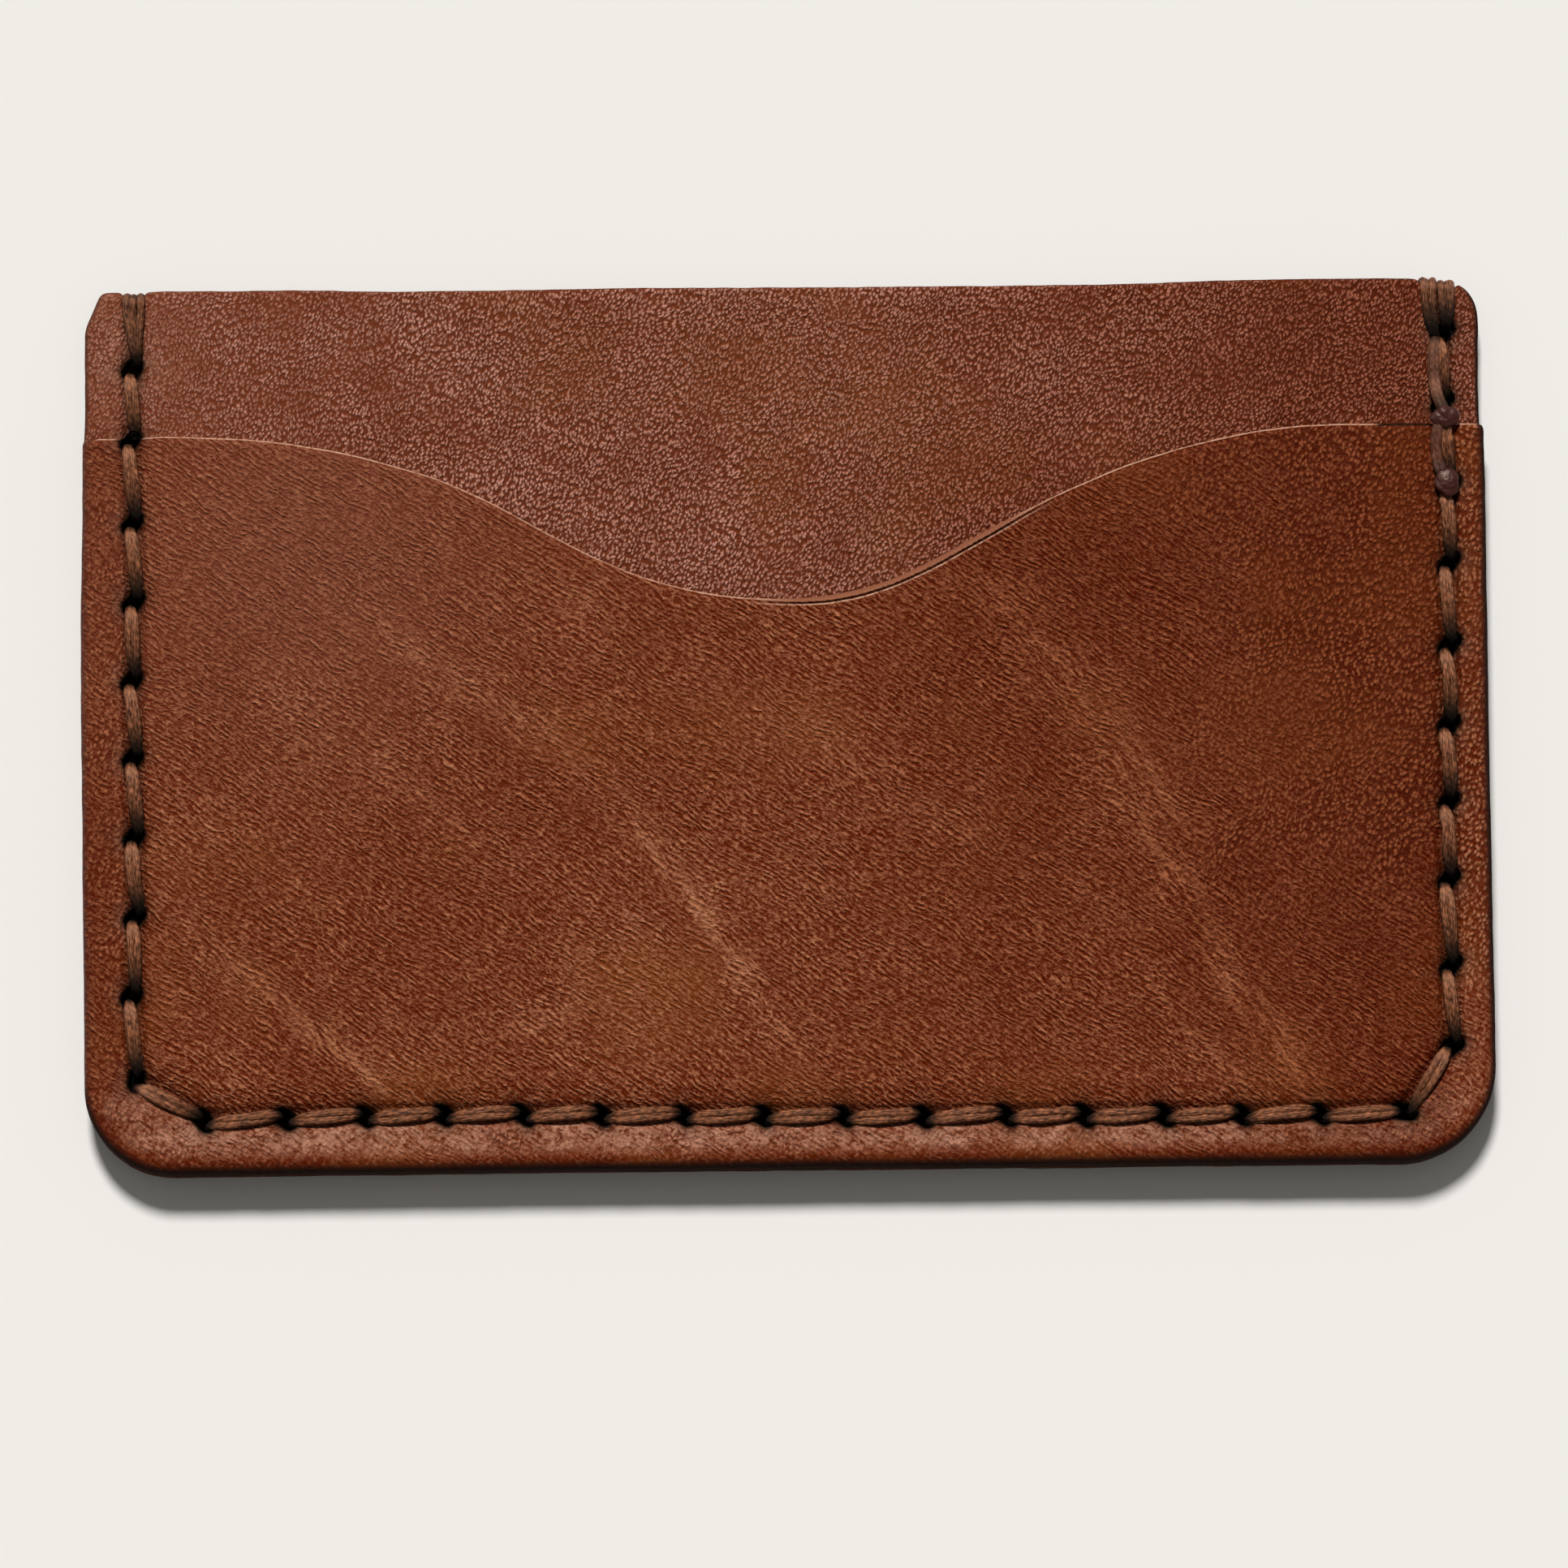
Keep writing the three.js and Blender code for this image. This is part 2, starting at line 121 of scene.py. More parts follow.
def smoothstep(a, b, x):
    t = np.clip((np.asarray(x, float) - a) / (b - a), 0, 1)
    return t * t * (3 - 2 * t)


def gauss(x, w):
    return np.exp(-(np.asarray(x, float) / w) ** 2)


def arc(cx, cy, r, a0, a1, n):
    a = np.radians(np.linspace(a0, a1, n + 1))
    return np.stack([cx + r * np.cos(a), cy + r * np.sin(a)], 1)


def spline(points, step=0.1):
    """Catmull-Rom curve through an open run of points."""
    p = np.asarray(points, float)
    p = np.vstack([2 * p[0] - p[1], p, 2 * p[-1] - p[-2]])
    out = []
    for i in range(1, len(p) - 2):
        a, b, c, d = p[i - 1], p[i], p[i + 1], p[i + 2]
        t0 = 0.0
        t1 = t0 + np.linalg.norm(b - a) ** 0.5
        t2 = t1 + np.linalg.norm(c - b) ** 0.5
        t3 = t2 + np.linalg.norm(d - c) ** 0.5
        n = max(2, int(np.linalg.norm(c - b) / step))
        t = np.linspace(t1, t2, n, endpoint=False)[:, None]
        a1 = (t1 - t) / (t1 - t0) * a + (t - t0) / (t1 - t0) * b
        a2 = (t2 - t) / (t2 - t1) * b + (t - t1) / (t2 - t1) * c
        a3 = (t3 - t) / (t3 - t2) * c + (t - t2) / (t3 - t2) * d
        b1 = (t2 - t) / (t2 - t0) * a1 + (t - t0) / (t2 - t0) * a2
        b2 = (t3 - t) / (t3 - t1) * a2 + (t - t1) / (t3 - t1) * a3
        out.append((t2 - t) / (t2 - t1) * b1 + (t - t1) / (t2 - t1) * b2)
    out.append(p[-2][None])
    return np.vstack(out)


def resample_closed(p, step):
    q = np.vstack([p, p[:1]])
    s = np.concatenate([[0], np.cumsum(np.linalg.norm(np.diff(q, axis=0), axis=1))])
    n = int(round(s[-1] / step))
    t = np.linspace(0, s[-1], n, endpoint=False)
    return np.stack([np.interp(t, s, q[:, k]) for k in range(q.shape[1])], 1)


def smooth_closed(p, sigma):
    """Gaussian smoothing round a closed loop; sigma in samples."""
    n = int(3 * sigma) + 1
    k = np.exp(-0.5 * (np.arange(-n, n + 1) / sigma) ** 2)
    k /= k.sum()
    return sum(w * np.roll(p, i, axis=0) for i, w in zip(range(-n, n + 1), k))


def loop_normals(p):
    """Outward normals of a counter-clockwise loop."""
    t = np.roll(p, -1, axis=0) - np.roll(p, 1, axis=0)
    t /= np.linalg.norm(t, axis=1)[:, None]
    return np.stack([t[:, 1], -t[:, 0]], 1)


def seam_tangent(i):
    t = SEAM[i + 2] - SEAM[i]
    return t / np.linalg.norm(t)


TANGENT = np.array([seam_tangent(i) for i in range(len(HOLES))])
OUTWARD = np.stack([TANGENT[:, 1], -TANGENT[:, 0]], 1)
SLIT = ALONG * TANGENT + ASIDE * OUTWARD
SLIT /= np.linalg.norm(SLIT, axis=1)[:, None]
SLIT_SIDE = np.stack([-SLIT[:, 1], SLIT[:, 0]], 1)
SLIT_CENTRE = HOLES + 0.10 * OUTWARD
SLIT_HALF = np.array([0.90 + 0.08 * hash2(np.array([i]), np.array([3]), 5)[0] for i in range(len(HOLES))])
SLIT_WIDE = np.array([0.53 + 0.05 * hash2(np.array([i]), np.array([9]), 8)[0] for i in range(len(HOLES))])


def seam_coords(p):
    """Nearest seam segment, place along it 0..1, signed outward distance, length along the seam."""
    best = np.full(len(p), 1e9)
    seg = np.zeros(len(p), int)
    u = np.zeros(len(p))
    v = np.zeros(len(p))
    run = np.zeros(len(p))
    s0 = 0.0
    for k in range(len(SEAM) - 1):
        a, b = SEAM[k], SEAM[k + 1]
        d = b - a
        L = np.linalg.norm(d)
        t = np.clip(((p - a) @ d) / L ** 2, 0, 1)
        r = p - (a + t[:, None] * d)
        dist = np.linalg.norm(r, axis=1)
        n = np.array([d[1], -d[0]]) / L
        side = np.sign(r @ n)
        m = dist < best - 1e-9
        best[m], seg[m], u[m], v[m], run[m] = dist[m], k, t[m], (dist * side)[m], s0 + t[m] * L
        s0 += L
    return seg, u, v, run


def hole_distance(p):
    """Distance outside the edge of the nearest awl slit, and from its centre."""
    edge = np.full(len(p), 1e9)
    centre = np.full(len(p), 1e9)
    for i in range(len(HOLES)):
        r = p - SLIT_CENTRE[i]
        near = np.abs(r).max(axis=1) < 5
        if not near.any():
            continue
        a, b = r[near] @ SLIT[i], r[near] @ SLIT_SIDE[i]
        L = SLIT_HALF[i] - SLIT_WIDE[i]
        d = np.hypot(a - np.clip(a, -L, L), b)
        edge[near] = np.minimum(edge[near], d - SLIT_WIDE[i])
        centre[near] = np.minimum(centre[near], np.hypot(a, b))
    return edge, centre


def slit_loop(i, grow=0.0):
    L, W = SLIT_HALF[i] - SLIT_WIDE[i], SLIT_WIDE[i] + grow
    pts = []
    for a0, cx in ((-90, L), (90, -L)):
        for a in np.radians(np.linspace(a0, a0 + 180, 8)):
            pts.append(SLIT_CENTRE[i] + SLIT[i] * (cx + W * math.cos(a)) + SLIT_SIDE[i] * (W * math.sin(a)))
    pts = np.array(pts)
    wob = np.array([hash2(np.array([i * 31 + k]), np.array([4]), 2)[0] for k in range(len(pts))])
    n = loop_normals(pts)
    return pts + n * wob[:, None] * 0.025


# ------------------------------------------------------------------ outlines
def wavy(loop, seed, amount):
    """A hand-cut edge is never quite true."""
    s = np.arange(len(loop)) * 0.1
    per = len(loop) * 0.1
    ang = 2 * np.pi * s / per
    cx, cy = np.cos(ang), np.sin(ang)
    w = fbm(cx * per / 40 + 5, cy * per / 40 + 5, seed, 2) * 0.55 + fbm(cx * per / 9, cy * per / 9, seed + 3, 3) * 0.45
    return loop + loop_normals(loop) * (w * amount)[:, None]


LOWER = np.vstack([
    arc(LEFT_X + R_LEFT, BOTTOM_Y + R_LEFT, R_LEFT, 180, 270, 60),
    np.stack([np.linspace(-43, 42, 400), BOTTOM_Y + 0.05 * np.sin(np.linspace(0, 3.1, 400))], 1),
    arc(RIGHT_X - R_RIGHT, BOTTOM_Y + R_RIGHT, R_RIGHT, 270, 360, 60)])


def notch(loop):
    """Dents that the thread wraps press into the top edge."""
    p = loop.copy()
    top = p[:, 1] > 30.5
    for x0, x1 in ((-47.1, -45.7), (45.5, 47.95)):
        w = smoothstep(x0 - 0.25, x0 + 0.15, p[:, 0]) * (1 - smoothstep(x1 - 0.15, x1 + 0.25, p[:, 0]))
        p[:, 1] -= np.where(top, 0.46 * w, 0)
    return p


def tall_loop(seed, shift=0.0):
    right = spline(np.array(RIGHT_SIDE[1:-1]) - [0.12, 0])
    top_right = spline(TALL_RIGHT_TOP[::-1])
    top = spline(TALL_TOP[::-1] + [CHAMFER[1]])
    top_left = spline(TALL_LEFT_TOP[::-1])
    left = spline(np.array(LEFT_SIDE[1:-1])[::-1] + [0.04, 0])
    p = np.vstack([LOWER, right, top_right, top, np.array(CHAMFER[::-1]), top_left, left])
    p = resample_closed(p, 0.1)
    p = smooth_closed(p, 3.0)
    p[:, 1] += np.where(p[:, 1] > 25, shift, 0)
    p = wavy(p, seed, 0.045)
    p = notch(p)
    p = smooth_closed(p, 1.2)
    return resample_closed(p, 0.22)


def pocket_loop(seed):
    right = spline(RIGHT_SIDE[1:-1])
    swoop = spline(SWOOP)
    left = spline(np.array(LEFT_SIDE[1:-1])[::-1])
    p = np.vstack([LOWER, right, swoop, left])
    p = resample_closed(p, 0.1)
    p = smooth_closed(p, 2.6)
    p = wavy(p, seed, 0.03)
    return resample_closed(p, 0.22)


class Outline:
    def __init__(self, loop):
        self.loop = loop
        self.n = len(loop)
        self.tree = kdtree.KDTree(self.n)
        for i, q in enumerate(loop):
            self.tree.insert((q[0], q[1], 0.0), i)
        self.tree.balance()

    def near(self, p):
        """Inward distance from the outline, and the place on it as a fractional index."""
        idx = np.fromiter((self.tree.find((x, y, 0.0))[1] for x, y in p), int, len(p))
        best = np.full(len(p), 1e9)
        where = np.zeros(len(p))
        for step in (-1, 0):
            a = self.loop[(idx + step) % self.n]
            b = self.loop[(idx + step + 1) % self.n]
            d = b - a
            t = np.clip(((p - a) * d).sum(1) / (d * d).sum(1), 0, 1)
            r = np.linalg.norm(p - (a + t[:, None] * d), axis=1)
            m = r < best
            best[m] = r[m]
            where[m] = (idx + step + t)[m]
        return best, np.mod(where, self.n)


def inside_loop(p, loop):
    """Even-odd test."""
    res = np.zeros(len(p), bool)
    x, y = p[:, 0], p[:, 1]
    a, b = loop, np.roll(loop, -1, axis=0)
    for (x0, y0), (x1, y1) in zip(a, b):
        m = (y0 > y) != (y1 > y)
        if m.any():
            res[m] ^= x[m] < (x1 - x0) * (y[m] - y0) / (y1 - y0) + x0
    return res


def hexgrid(x0, x1, y0, y1, s):
    rows = int((y1 - y0) / (s * 0.866)) + 1
    cols = int((x1 - x0) / s) + 2
    j, i = np.mgrid[0:rows, 0:cols]
    x = x0 + (i + 0.5 * (j % 2)) * s
    y = y0 + j * s * 0.866
    p = np.stack([x.ravel(), y.ravel()], 1)
    # a little jitter, so that light doesn't find the rows
    k = np.arange(len(p))
    return p + np.stack([hash2(k, k * 0 + 1, 11), hash2(k, k * 0 + 2, 12)], 1) * s * 0.12


def sheet_mesh(outline, slits, rings, spacing, band=0.0, band_spacing=0.2, coarse=None):
    """Triangulates one side of a panel. Returns 2-D points and triangles; the outline comes first, then the slits."""
    loop = outline.loop
    fixed = [loop] + [slit_loop(i) for i in slits]
    free = []
    nrm = loop_normals(loop)
    for ring in rings:
        free.append(loop - nrm * ring[:, None])
    clear = rings[-1] + 0.1
    x0, y0 = loop.min(0)
    x1, y1 = loop.max(0)
    inner = hexgrid(x0, x1, y0, y1, spacing)
    groups = [(inner, spacing)]
    if band > 0:
        groups.append((hexgrid(x0, x1, y0, y1, band_spacing), band_spacing))
    if coarse is not None:
        groups.append((hexgrid(x0, x1, y0, y1, coarse[1]), coarse[1]))
    for g, (pts, s) in enumerate(groups):
        _, _, v, _ = seam_coords(pts)
        in_band = np.abs(v + 0.15) < band if band > 0 else np.zeros(len(pts), bool)
        is_coarse = coarse[0](pts) if coarse is not None else np.zeros(len(pts), bool)
        if g == 0:
            keep = ~in_band & ~is_coarse
        elif band > 0 and g == 1:
            keep = in_band & ~is_coarse
        else:
            keep = is_coarse
        free.append(pts[keep])
    ring_count = len(rings) * len(loop)
    if slits:
        for i in slits:
            free.append(slit_loop(i, 0.1))
    free = np.vstack(free)
    d, where = outline.near(free)
    ok = inside_loop(free, loop) & (d > 0.01)
    lattice = np.arange(len(free)) >= ring_count
    ok &= ~lattice | (d > clear[np.round(where).astype(int) % outline.n])
    if slits:
        edge, _ = hole_distance(free)
        ok &= edge > 0.06
    free = free[ok]
    sizes = [len(f) for f in fixed]
    verts = np.vstack(fixed + [free])
    edges = []
    start = 0
    for n in sizes:
        edges += [(start + k, start + (k + 1) % n) for k in range(n)]
        start += n
    out_v, _, out_f, orig_v, _, _ = delaunay_2d_cdt([Vector(q) for q in verts.tolist()], edges, [], 0, 1e-6, True)
    back = np.full(len(verts), -1)
    for k, o in enumerate(orig_v):
        for q in o:
            back[q] = k
    pts = np.array([(q[0], q[1]) for q in out_v])
    tris = np.array([f for f in out_f if len(f) == 3], int)
    cen = pts[tris].mean(1)
    nfix = start
    fixed_out = set(back[:nfix].tolist())
    on_edge = np.isin(tris, np.array(sorted(fixed_out))).sum(1) == 3
    good = np.ones(len(tris), bool)
    idx = np.where(on_edge)[0]
    if len(idx):
        good[idx] = inside_loop(cen[idx], loop)
        if slits:
            e, _ = hole_distance(cen[idx])
            inside_slit = np.zeros(len(idx), bool)
            s = sizes[0]
            for k, i in enumerate(slits):
                inside_slit |= inside_loop(cen[idx], fixed[1 + k])
            good[idx] &= ~inside_slit
    tris = tris[good]
    # counter-clockwise
    a, b, c = pts[tris[:, 0]], pts[tris[:, 1]], pts[tris[:, 2]]
    area = (b[:, 0] - a[:, 0]) * (c[:, 1] - a[:, 1]) - (b[:, 1] - a[:, 1]) * (c[:, 0] - a[:, 0])
    tris[area < 0] = tris[area < 0][:, ::-1]
    loops = []
    start = 0
    for n in sizes:
        loops.append(back[start:start + n])
        start += n
    return pts, tris, loops


def build_panel(name, outline, slits, top, bottom, top_args, bottom_args, top_z, bottom_z, attrs):
    """A closed leather panel: two sheets, joined round the outline and through the awl slits."""
    tp, tt, tl = sheet_mesh(outline, slits, *top_args[0], **top_args[1])
    bp, bt, bl = sheet_mesh(outline, slits, *bottom_args[0], **bottom_args[1])
    tz = top_z(tp)
    bz = bottom_z(bp)
    verts = [np.column_stack([tp, tz]), np.column_stack([bp, bz])]
    side = [np.zeros(len(tp)), np.zeros(len(bp))]
    is_top = [np.ones(len(tp)), np.zeros(len(bp))]
    faces = [tt, (bt + len(tp))[:, ::-1]]
    count = len(tp) + len(bp)
    for k, (lt, lb) in enumerate(zip(tl, bl)):
        n = len(lt)
        steps = 3 if k == 0 else 2
        prev = lt
        zt, zb = tz[lt], bz[lb]
        for j in range(1, steps + 1):
            if j == steps:
                cur = lb + len(tp)
            else:
                f = j / steps
                xy = tp[lt]
                verts.append(np.column_stack([xy, zt * (1 - f) + zb * f]))
                side.append(np.ones(n))
                is_top.append(np.full(n, 0.5))
                cur = np.arange(count, count + n)
                count += n
            nxt, cnx = np.roll(prev, -1), np.roll(cur, -1)
            if k == 0:
                faces.append(np.stack([prev, cur, cnx], 1))
                faces.append(np.stack([prev, cnx, nxt], 1))
            else:
                faces.append(np.stack([prev, cnx, cur], 1))
                faces.append(np.stack([prev, nxt, cnx], 1))
            prev = cur
    verts = np.vstack(verts)
    faces = np.vstack(faces)
    side = np.concatenate(side)
    is_top = np.concatenate(is_top)
    return make_mesh(name, verts, faces, attrs(verts, side, is_top))


def make_mesh(name, verts, faces, attributes=None, uv=None, smooth=True):
    me = bpy.data.meshes.new(name)
    v = (verts + OFF) * MM
    me.vertices.add(len(v))
    me.vertices.foreach_set("co", v.astype(np.float32).ravel())
    me.loops.add(len(faces) * 3)
    me.loops.foreach_set("vertex_index", faces.astype(np.int32).ravel())
    me.polygons.add(len(faces))
    me.polygons.foreach_set("loop_start", np.arange(0, len(faces) * 3, 3, dtype=np.int32))
    me.update(calc_edges=True)
    me.polygons.foreach_set("use_smooth", np.full(len(faces), smooth))
    for key, val in (attributes or {}).items():
        a = me.attributes.new(key, "FLOAT", "POINT")
        a.data.foreach_set("value", np.asarray(val, np.float32))
    if uv is not None:
        layer = me.uv_layers.new(name="UVMap")
        layer.data.foreach_set("uv", uv[faces.ravel()].astype(np.float32).ravel())
    me.validate()
    me.update()
    o = bpy.data.objects.new(name, me)
    bpy.context.scene.collection.objects.link(o)
    return o


# ------------------------------------------------------------------ leather heights
def lift(p):
    """0 in the stitched border, 1 in the pocket area, which stands a little clear."""
    _, _, v, _ = seam_coords(p)
    inward = -v
    return smoothstep(0.75, 2.3, inward)


def stitch_press(p, depth, seg, u, v):
    """The thread's bed: scalloped, deepest at the holes, with the leather crowding up beside it."""
    mid = np.sin(np.pi * np.clip(u, 0, 1))
    w = 0.47 + 0.17 * mid
    bed = 1 - smoothstep(w - 0.12, w + 0.30, np.abs(v - 0.02))
    z = -depth * (1.0 - 0.35 * mid) * bed
    z += 0.06 * gauss(np.abs(v) - w - 0.50, 0.28) * (0.6 + 0.4 * (1 - mid))
    edge, centre = hole_distance(p)
    z -= 0.22 * gauss(centre, 1.15)
    z -= 0.12 * (1 - smoothstep(0.0, 0.16, edge))
    return z, bed, edge, centre, mid


def quarter(e, r):
    """How far a rounded edge of radius r has dropped at a distance e from the edge."""
    t = 1 - np.clip(e / np.maximum(r, 1e-6), 0, 1)
    return r * (1 - np.sqrt(np.clip(1 - t * t, 0, 1)))


def on_loop(values, where):
    n = len(values)
    i = np.floor(where).astype(int) % n
    f = where - np.floor(where)
    return values[i] * (1 - f) + values[(i + 1) % n] * f


def crease(p, x0, y0, angle, length, width, depth, bend=0.0):
    """A soft crease pressed in by use."""
    a = math.radians(angle)
    d = np.array([math.cos(a), math.sin(a)])
    n = np.array([-d[1], d[0]])
    r = p - [x0, y0]
    s, t = r @ d, r @ n
    t = t - bend * (s / length) ** 2 * length - 0.25 * fbm(s / 3.0, s * 0 + x0, 77, 2)
    return -depth * gauss(t, width) * np.exp(-np.abs(s / length) ** 4)


def waviness(p, seed):
    return 0.055 * fbm(p[:, 0] / 17, p[:, 1] / 17, seed, 2) + 0.022 * fbm(p[:, 0] / 4.5, p[:, 1] / 4.5, seed + 5, 2)


ANGLES = [0, 0.034, 0.134, 0.293, 0.5, 0.741, 1.0]


def ring_arrays(radius, count=7):
    """Distances of the mesh rings inside an outline whose edge is rounded to the given radius."""
    t = (ANGLES[1:] + [1.2])[:count]
    return [radius * k for k in t]


def blend_loop(mask, sigma):
    return np.clip(smooth_closed(mask[:, None].astype(float), sigma)[:, 0], 0, 1)


def burnish(d, r):
    return 1 - smoothstep(0.35, 1.0, d / np.maximum(r, 1e-6))


# ------------------------------------------------------------------ the front pocket
pocket = Outline(pocket_loop(3))
mouth = blend_loop((np.abs(pocket.loop[:, 0]) < 49.35) & (pocket.loop[:, 1] > 8.5), 2.0)
pocket_radius = 1.0 * (1 - mouth) + 0.16 * mouth


def strip_width(x):
    """Width of the smooth bevel outside the line creased along the mouth."""
    w = 0.13 + 0.28 * smoothstep(-3.0, 3.5, x) * (1 - smoothstep(13.0, 20.0, x))
    return w + 0.02 * smoothstep(18.0, 21.0, x)


def crease_depth(x):
    return (0.02 + 0.15 * smoothstep(-3.5, 1.5, x)) * (1 - 0.45 * smoothstep(15.5, 20, x)) * (1 - 0.8 * smoothstep(29, 35, x))


_sw = strip_width(pocket.loop[:, 0]) + 0.02 * fbm(pocket.loop[:, 0] / 2.5, pocket.loop[:, 1] / 2.5, 41, 2)
_mouth_rings = [0.03 + 0 * _sw, 0.45 * _sw + 0.02, _sw - 0.01, _sw + 0.045, _sw + 0.095, _sw + 0.15, _sw + 0.24, _sw + 0.42, _sw + 0.66]
_side_rings = [pocket_radius * k for k in (0.034, 0.134, 0.293, 0.5, 0.741, 1.0, 1.2, 1.42, 1.62)]
pocket_rings = [mouth * m + (1 - mouth) * q for m, q in zip(_mouth_rings, _side_rings)]
pocket_slits = list(range(1, 34))

FOLDS = [(-27.5, -9.0, -38, 9.0, 0.5, 0.055, 0.05), (-24.0, -15.5, -20, 8.0, 0.45, 0.05, -0.06),
         (-33.5, -14.0, -52, 5.0, 0.4, 0.04, 0.05), (14.0, 4.5, -56, 10.0, 0.55, 0.05, 0.03),
         (27.0, -13.0, -54, 9.0, 0.5, 0.05, -0.02), (5.0, -15.0, -33, 12.0, 0.6, 0.045, 0.03),
         (-12.0, 1.5, -30, 9.0, 0.5, 0.04, -0.03), (36.0, 6.0, -40, 8.0, 0.45, 0.04, 0.04)]


def pocket_top_z(p):
    e, where = pocket.near(p)
    m = on_loop(mouth, where)
    seg, u, v, run = seam_coords(p)
    up = smoothstep(0.55, 2.2, -v)
    z = POCKET_TOP + 1.6 * RELIEF * up + waviness(p, 21) * (0.25 + 0.75 * up)
    for f in FOLDS:
        z += crease(p, *f) * up
    press, bed, edge, centre, mid = stitch_press(p, 0.40, seg, u, v)
    z += press
    # the border is rough where the stitches pull at it
    border = smoothstep(0.3, 0.9, v)
    z += 0.020 * border * fbm(p[:, 0] / 0.55, p[:, 1] / 0.55, 61, 2)
    bottom = smoothstep(-27.0, -28.5, p[:, 1])
    z -= 0.035 * bottom * gauss(e - 1.25 - 0.12 * fbm(p[:, 0] / 6, p[:, 1] * 0, 62, 2), 0.10)
    # mouth: bevelled strip, creased line and a low shoulder
    w = on_loop(_sw, where)
    cd = crease_depth(p[:, 0])
    lip = np.where(e < w, (w - e) * 0.62, 0) * smoothstep(-4, 1, p[:, 0]) + 0.05 * gauss(e, 0.35)
    z -= m * (lip + cd * gauss(e - (w + 0.095), 0.065) - 0.03 * gauss(e - (w + 0.30), 0.15))
    r = on_loop(pocket_radius, where)
    return z - quarter(e, r)


def pocket_bottom_z(p):
    e, where = pocket.near(p)
    return MID_TOP + 1.3 * RELIEF * lift(p) + 0.02 + quarter(e, np.full(len(p), 0.08))


def colour_fields(p, kind):
    """Slow changes over the hide: a painted light falloff times random tone, and how warm it is."""
    x, y = p[:, 0], p[:, 1]
    # painted light falloff: the leather is made lighter on the left and darker to the right, as the light across the
    # object falls off; the strip past the right-hand stitches is lifted again and the far left border lowered
    if kind == "pocket":
        painted_falloff = 1.05 - 0.31 * smoothstep(-8, 40, x + 0.5 * y) + 0.06 * gauss(np.hypot(x + 8, y + 17), 9) - 0.06 * gauss(np.hypot(x + 24, y + 8), 8)
        painted_falloff = painted_falloff - 0.07 * smoothstep(20, 40, x) * smoothstep(-26, -5, y) + 0.33 * smoothstep(45.6, 47.2, x) - 0.16 * (1 - smoothstep(-48.0, -46.6, x))
    elif kind == "middle":
        painted_falloff = 1.04 + 0.09 * (1 - smoothstep(-44, -16, x)) - 0.38 * smoothstep(-8, 46, x) + 0.16 * smoothstep(45.6, 47.2, x)
    else:
        painted_falloff = 0.95 + 0 * x
    tone = painted_falloff * (1 + 0.07 * fbm(x / 13, y / 13, 91, 3) + 0.06 * fbm(x / 3.6, y / 3.6, 93, 3))
    warm = fbm(x / 9, y / 9, 95, 3) - 0.8 * gauss(np.hypot(x + 36, y - 13), 15)
    return tone, warm


STREAKS = [  # lighter pull-up lines where the leather has been bent: points on the way, width, strength
    ([(11.2, 13.0), (12.4, 11.3), (18.4, 4.2), (23.5, -3.5), (29.5, -15.7), (36.7, -26.7), (38.6, -30.6)], 1.15, 0.90),
    ([(14.5, 11.5), (22.0, 2.0), (28.5, -8.0)], 1.2, 0.45),
    ([(20.0, -10.0), (27.5, -21.0), (33.0, -27.5)], 0.9, 0.40),
    ([(-31.8, 9.2), (-13.3, -4.1), (1.5, -24.8)], 1.0, 0.62),
    ([(-44.4, -12.3), (-37.7, -18.1), (-27.3, -26.3)], 1.0, 0.75),
    ([(-20.0, 12.5), (-8.0, 5.0), (4.0, -2.5), (14.0, -8.0)], 1.3, 0.26),
    ([(-30.0, -20.5), (-22.0, -21.5), (-12.0, -19.0)], 0.9, 0.30),
    ([(-38.0, 2.0), (-30.0, -1.5), (-21.0, -9.0)], 1.2, 0.25),
]


def streaks(p):
    out = np.zeros(len(p))
    for pts, width, strength in STREAKS:
        q = spline(np.array(pts, float), 0.5)
        d = np.hypot(p[:, 0, None] - q[None, :, 0], p[:, 1, None] - q[None, :, 1])
        j = d.argmin(1)
        tang = np.gradient(q, axis=0)
        tang /= np.linalg.norm(tang, axis=1)[:, None]
        r = p - q[j]
        t = tang[j, 0] * r[:, 1] - tang[j, 1] * r[:, 0]
        s = j / (len(q) - 1)
        fine = fbm(t / 0.42, s * 3.0 + j * 0, 101, 2)
        far = np.hypot((r * tang[j]).sum(1) * 0.6, t)
        out = np.maximum(out, strength * np.exp(-np.abs(far / width) ** 1.6) * (0.80 + 0.35 * fine) * smoothstep(0, 0.16, s + 0.05) * (1 - smoothstep(0.9, 1.0, s) * 0.7))
    return np.clip(out, 0, 1)


def border_attrs(p, seg, u, v, edge, centre, bed):
    # painted shade: the rims of the awl holes are coloured near-black
    dark = 1 - smoothstep(0.02, 0.34, edge)
    # painted shade: the thread's groove and the leather round each hole are darkened where shade falls
    stain = 0.55 * gauss(np.maximum(edge, 0), 0.75) + 0.40 * bed
    return np.clip(dark, 0, 1), np.clip(stain, 0, 1)


